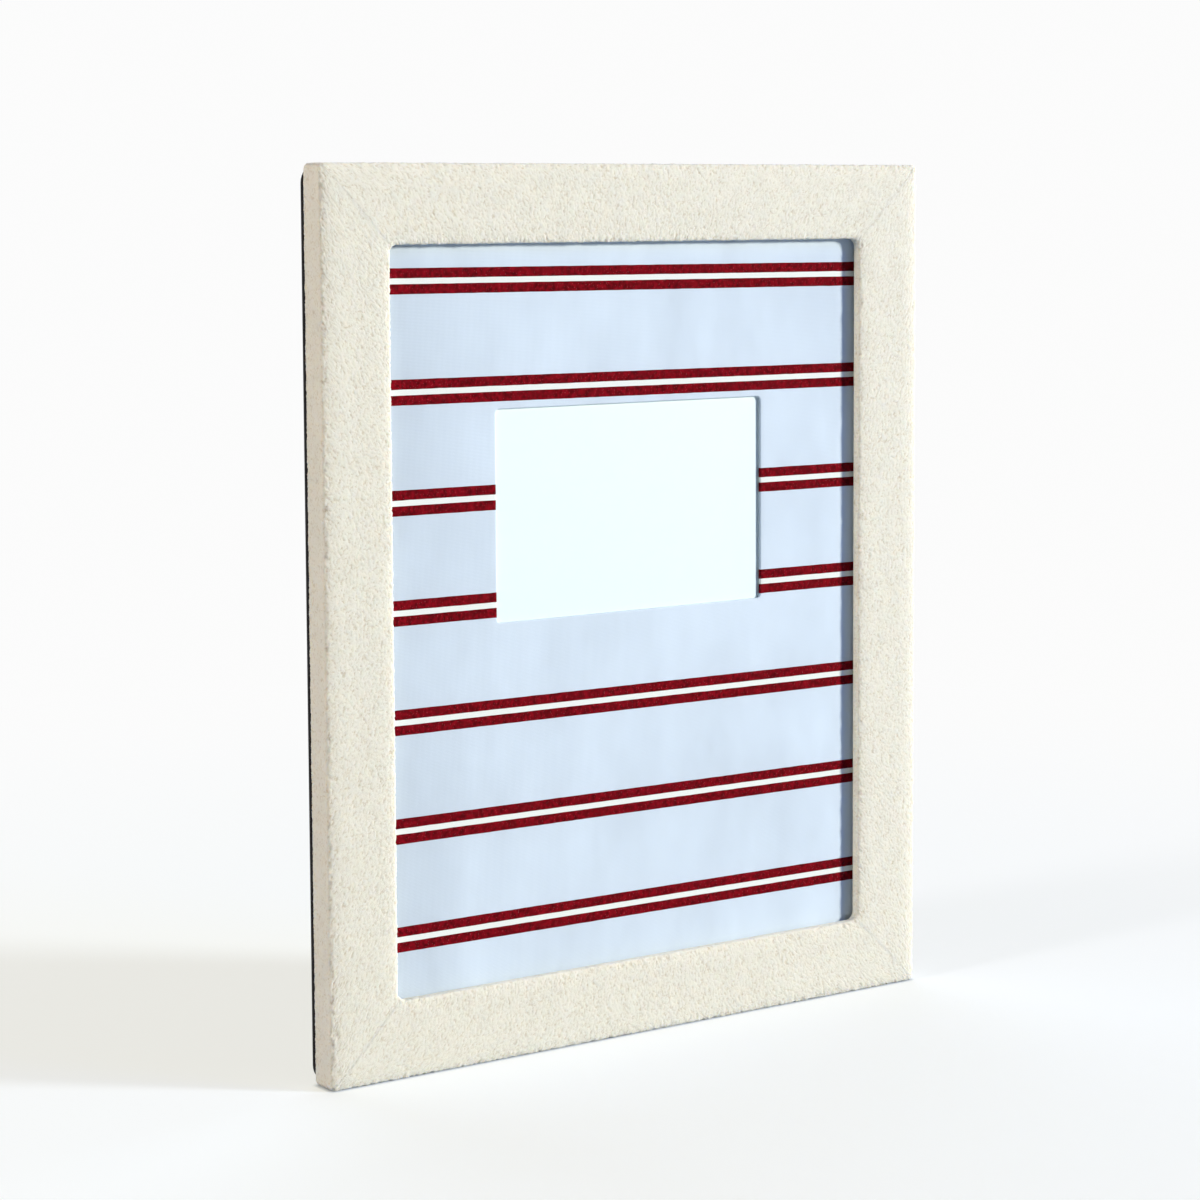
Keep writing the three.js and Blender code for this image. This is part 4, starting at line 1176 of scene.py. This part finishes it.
def ribbon_points(back):
    """The ribbon as a flat closed section carried along its line, and the line's length.

    The section is a rounded strip, and the line's two bends are parabolas.
    """
    bend_steps, line_points, round_share = 8, 90, 0.9
    low, high = node_box("ribbon_stay")
    radii = (0, back.ribbon_bend, back.ribbon_bend, 0)
    corners = [(*corner, radius) for corner, radius in zip(ribbon_line(), radii)]
    line = rounded_corners(corners, bend_steps)[bend_steps:-bend_steps]
    run = step_lengths(line).sum()
    line = even_steps(line, np.linspace(0, run, line_points))
    along = unit(np.gradient(line, axis=0))
    normal = np.stack([-along[:, 1], along[:, 0]], axis=-1)
    half = np.array([(high[2] - low[2]) / 2, back.ribbon_thickness / 2])
    strip, _ = round_rectangle(-half, half, np.array(round_share * half[1]), [12, 1], 2)
    flat = line[:, None] + normal[:, None] * strip[None, :, 1:]
    heights = np.broadcast_to((low[2] + high[2]) / 2 + strip[None, :, :1], (*flat.shape[:2], 1))
    return np.concatenate([flat, heights], axis=-1), float(run)


class TieRibbon(bpy.types.Operator):
    """Ties the satin ribbon between the backing board and the strut"""

    bl_idname = "photo_frame.tie_ribbon"
    bl_label = "Tie the ribbon stay"

    def execute(self, context):
        points, run = ribbon_points(context.scene.frame_back)
        piece = grid_piece("satin_stay", points, "black_ribbon", wrap_columns=True)
        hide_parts("ribbon_stay")
        low, high = node_box("ribbon_stay")
        start, end = ribbon_line()[1:3]
        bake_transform(piece)
        return {"FINISHED"}


# Stage

def seen_directly(tree):
    """1 for rays from the camera, in a reflection or through glass, and 0 for light on the object."""
    rays = add_node(tree, "LightPath").outputs
    seen = add_node(tree, "Math", {0: rays["Is Camera Ray"], 1: rays["Is Glossy Ray"]}, operation="MAXIMUM")
    return add_node(tree, "Math", {0: seen, 1: rays["Is Transmission Ray"]}, operation="MAXIMUM")


def white_room(stage):
    """A white room: white where it is seen, and an even soft light on the object."""
    world = bpy.data.worlds.new("white_room")
    world.use_nodes = True
    tree = world.node_tree
    tree.nodes.clear()
    fill = add_node(tree, "Background", {"Color": opaque(stage.fill_colour), "Strength": stage.fill})
    white = add_node(tree, "Background", {"Color": (1, 1, 1, 1), "Strength": stage.room_white})
    room = add_node(tree, "MixShader", {0: seen_directly(tree), 1: fill, 2: white})
    add_node(tree, "OutputWorld", {"Surface": room})
    return world


def floor_paper(stage):
    """Pale seamless paper that keeps the object's shadow and fades to white away from the object."""
    material, tree, place = start_material("seamless_floor_paper")
    seen = seen_directly(tree)
    paper = add_node(tree, "BsdfDiffuse", {"Color": opaque(stage.floor_colour)})
    contact = add_node(tree, "AmbientOcclusion", {"Distance": stage.floor_contact}).outputs["AO"]
    clear = add_node(tree, "Math", {0: contact, 1: seen}, operation="MULTIPLY")
    strength = add_node(tree, "Math", {0: clear, 1: stage.floor_glow}, operation="MULTIPLY")
    glow = add_node(tree, "Emission", {"Color": opaque(stage.glow_colour), "Strength": strength})
    near = add_node(tree, "AddShader", {0: paper, 1: glow})
    distance = add_node(tree, "VectorMath", {0: place}, operation="LENGTH").outputs["Value"]
    away = add_node(tree, "MapRange", {"Value": distance, "From Min": stage.floor_near,
                                       "From Max": stage.floor_far}, interpolation_type="SMOOTHSTEP")
    fade = add_node(tree, "Math", {0: away, 1: seen}, operation="MULTIPLY")
    white = add_node(tree, "Emission", {"Color": (1, 1, 1, 1), "Strength": stage.room_white})
    mixed = add_node(tree, "MixShader", {0: fade, 1: near, 2: white})
    add_node(tree, "OutputMaterial", {"Surface": mixed})
    return material


def disk_lamp(scene, name, azimuth, elevation, distance, size, watts, tint):
    """A round lamp that faces the middle of the frame from a direction."""
    target = Vector((cad_box[0] + cad_box[1]) / 2)
    level = math.cos(elevation)
    direction = Vector((math.sin(azimuth) * level, -math.cos(azimuth) * level, math.sin(elevation)))
    light = bpy.data.lights.new(name, "AREA")
    light.shape = "DISK"
    light.size = size
    light.energy = watts
    light.color = tint
    lamp = bpy.data.objects.new(name, light)
    lamp.location = target + direction * distance
    lamp.rotation_euler = direction.to_track_quat("Z", "Y").to_euler()
    scene.collection.objects.link(lamp)


def floor_sheet(scene, stage):
    """A square of paper under the object, divided in four."""
    reach = np.linspace(-stage.floor_size, stage.floor_size, 3)
    x, y = np.meshgrid(reach, reach)
    corners = np.stack([x, y, np.zeros_like(x)], axis=-1).reshape(-1, 3)
    mesh = bpy.data.meshes.new("floor")
    mesh.from_pydata(corners.tolist(), [], grid_faces(3, 3).tolist())
    mesh.materials.append(floor_paper(stage))
    floor = bpy.data.objects.new("floor", mesh)
    scene.collection.objects.link(floor)


def photo_camera(scene, stage):
    """A camera turned by yaw from the +Y direction to the right, by pitch downwards and then by roll."""
    yaw, pitch, roll = stage.camera_turn
    ahead = Vector((math.sin(yaw) * math.cos(pitch), math.cos(yaw) * math.cos(pitch), -math.sin(pitch)))
    right = Vector((math.cos(yaw), -math.sin(yaw), 0))
    up = right.cross(ahead)
    level_right = math.cos(roll) * right + math.sin(roll) * up
    level_up = math.cos(roll) * up - math.sin(roll) * right
    lens = bpy.data.cameras.new("camera")
    lens.lens = stage.lens
    lens.shift_y = stage.shift
    camera = bpy.data.objects.new("camera", lens)
    turn = Matrix((level_right, level_up, -ahead)).transposed()
    camera.matrix_world = Matrix.Translation(stage.camera_place) @ turn.to_4x4()
    scene.collection.objects.link(camera)
    scene.camera = camera


class SetStage(bpy.types.Operator):
    """Sets the floor, the room, the lamps and the camera"""

    bl_idname = "photo_frame.set_stage"
    bl_label = "Set the stage"

    def execute(self, context):
        scene = context.scene
        stage = scene.frame_stage
        scene.view_settings.view_transform = "Standard"
        scene.world = white_room(stage)
        floor_sheet(scene, stage)
        for name in LAMPS:
            disk_lamp(scene, f"{name}_lamp", *[getattr(stage, f"{name}_{key}") for key in LAMP_SETTINGS])
        photo_camera(scene, stage)
        return {"FINISHED"}


# Add-on

OPERATORS = (
    FinishSolids, WrapPile, LayMat, FitTrim, FitStrut,
    HangHinges, FitButtons, FitHanger, TieRibbon, SetStage,
)
SETTINGS = {
    "frame_pile": PileSettings,
    "frame_mat": MatSettings,
    "frame_back": BackSettings,
    "frame_stage": StageSettings,
}


class PhotoFramePanel(bpy.types.Panel):
    """Lists the steps that build the photo frame"""

    bl_idname = "VIEW3D_PT_photo_frame"
    bl_label = "Photo Frame"
    bl_space_type = "VIEW_3D"
    bl_region_type = "UI"
    bl_category = "Photo Frame"

    def draw(self, context):
        for operator in OPERATORS:
            self.layout.operator(operator.bl_idname)
        for name, group in SETTINGS.items():
            box = self.layout.box()
            for key in group.__annotations__:
                box.prop(getattr(context.scene, name), key)


def register():
    for cls in (*SETTINGS.values(), *OPERATORS, PhotoFramePanel):
        bpy.utils.register_class(cls)
    for name, cls in SETTINGS.items():
        setattr(bpy.types.Scene, name, PointerProperty(type=cls))


def unregister():
    for name in SETTINGS:
        delattr(bpy.types.Scene, name)
    for cls in (PhotoFramePanel, *OPERATORS, *SETTINGS.values()):
        bpy.utils.unregister_class(cls)


def main():
    """Builds every piece in order."""
    register()
    bpy.ops.photo_frame.finish_solids()
    bpy.ops.photo_frame.wrap_pile()
    bpy.ops.photo_frame.lay_mat()
    bpy.ops.photo_frame.fit_trim()
    bpy.ops.photo_frame.fit_strut()
    bpy.ops.photo_frame.hang_hinges()
    bpy.ops.photo_frame.fit_buttons()
    bpy.ops.photo_frame.fit_hanger()
    bpy.ops.photo_frame.tie_ribbon()
    bpy.ops.photo_frame.set_stage()


if __name__ == "__main__":
    main()
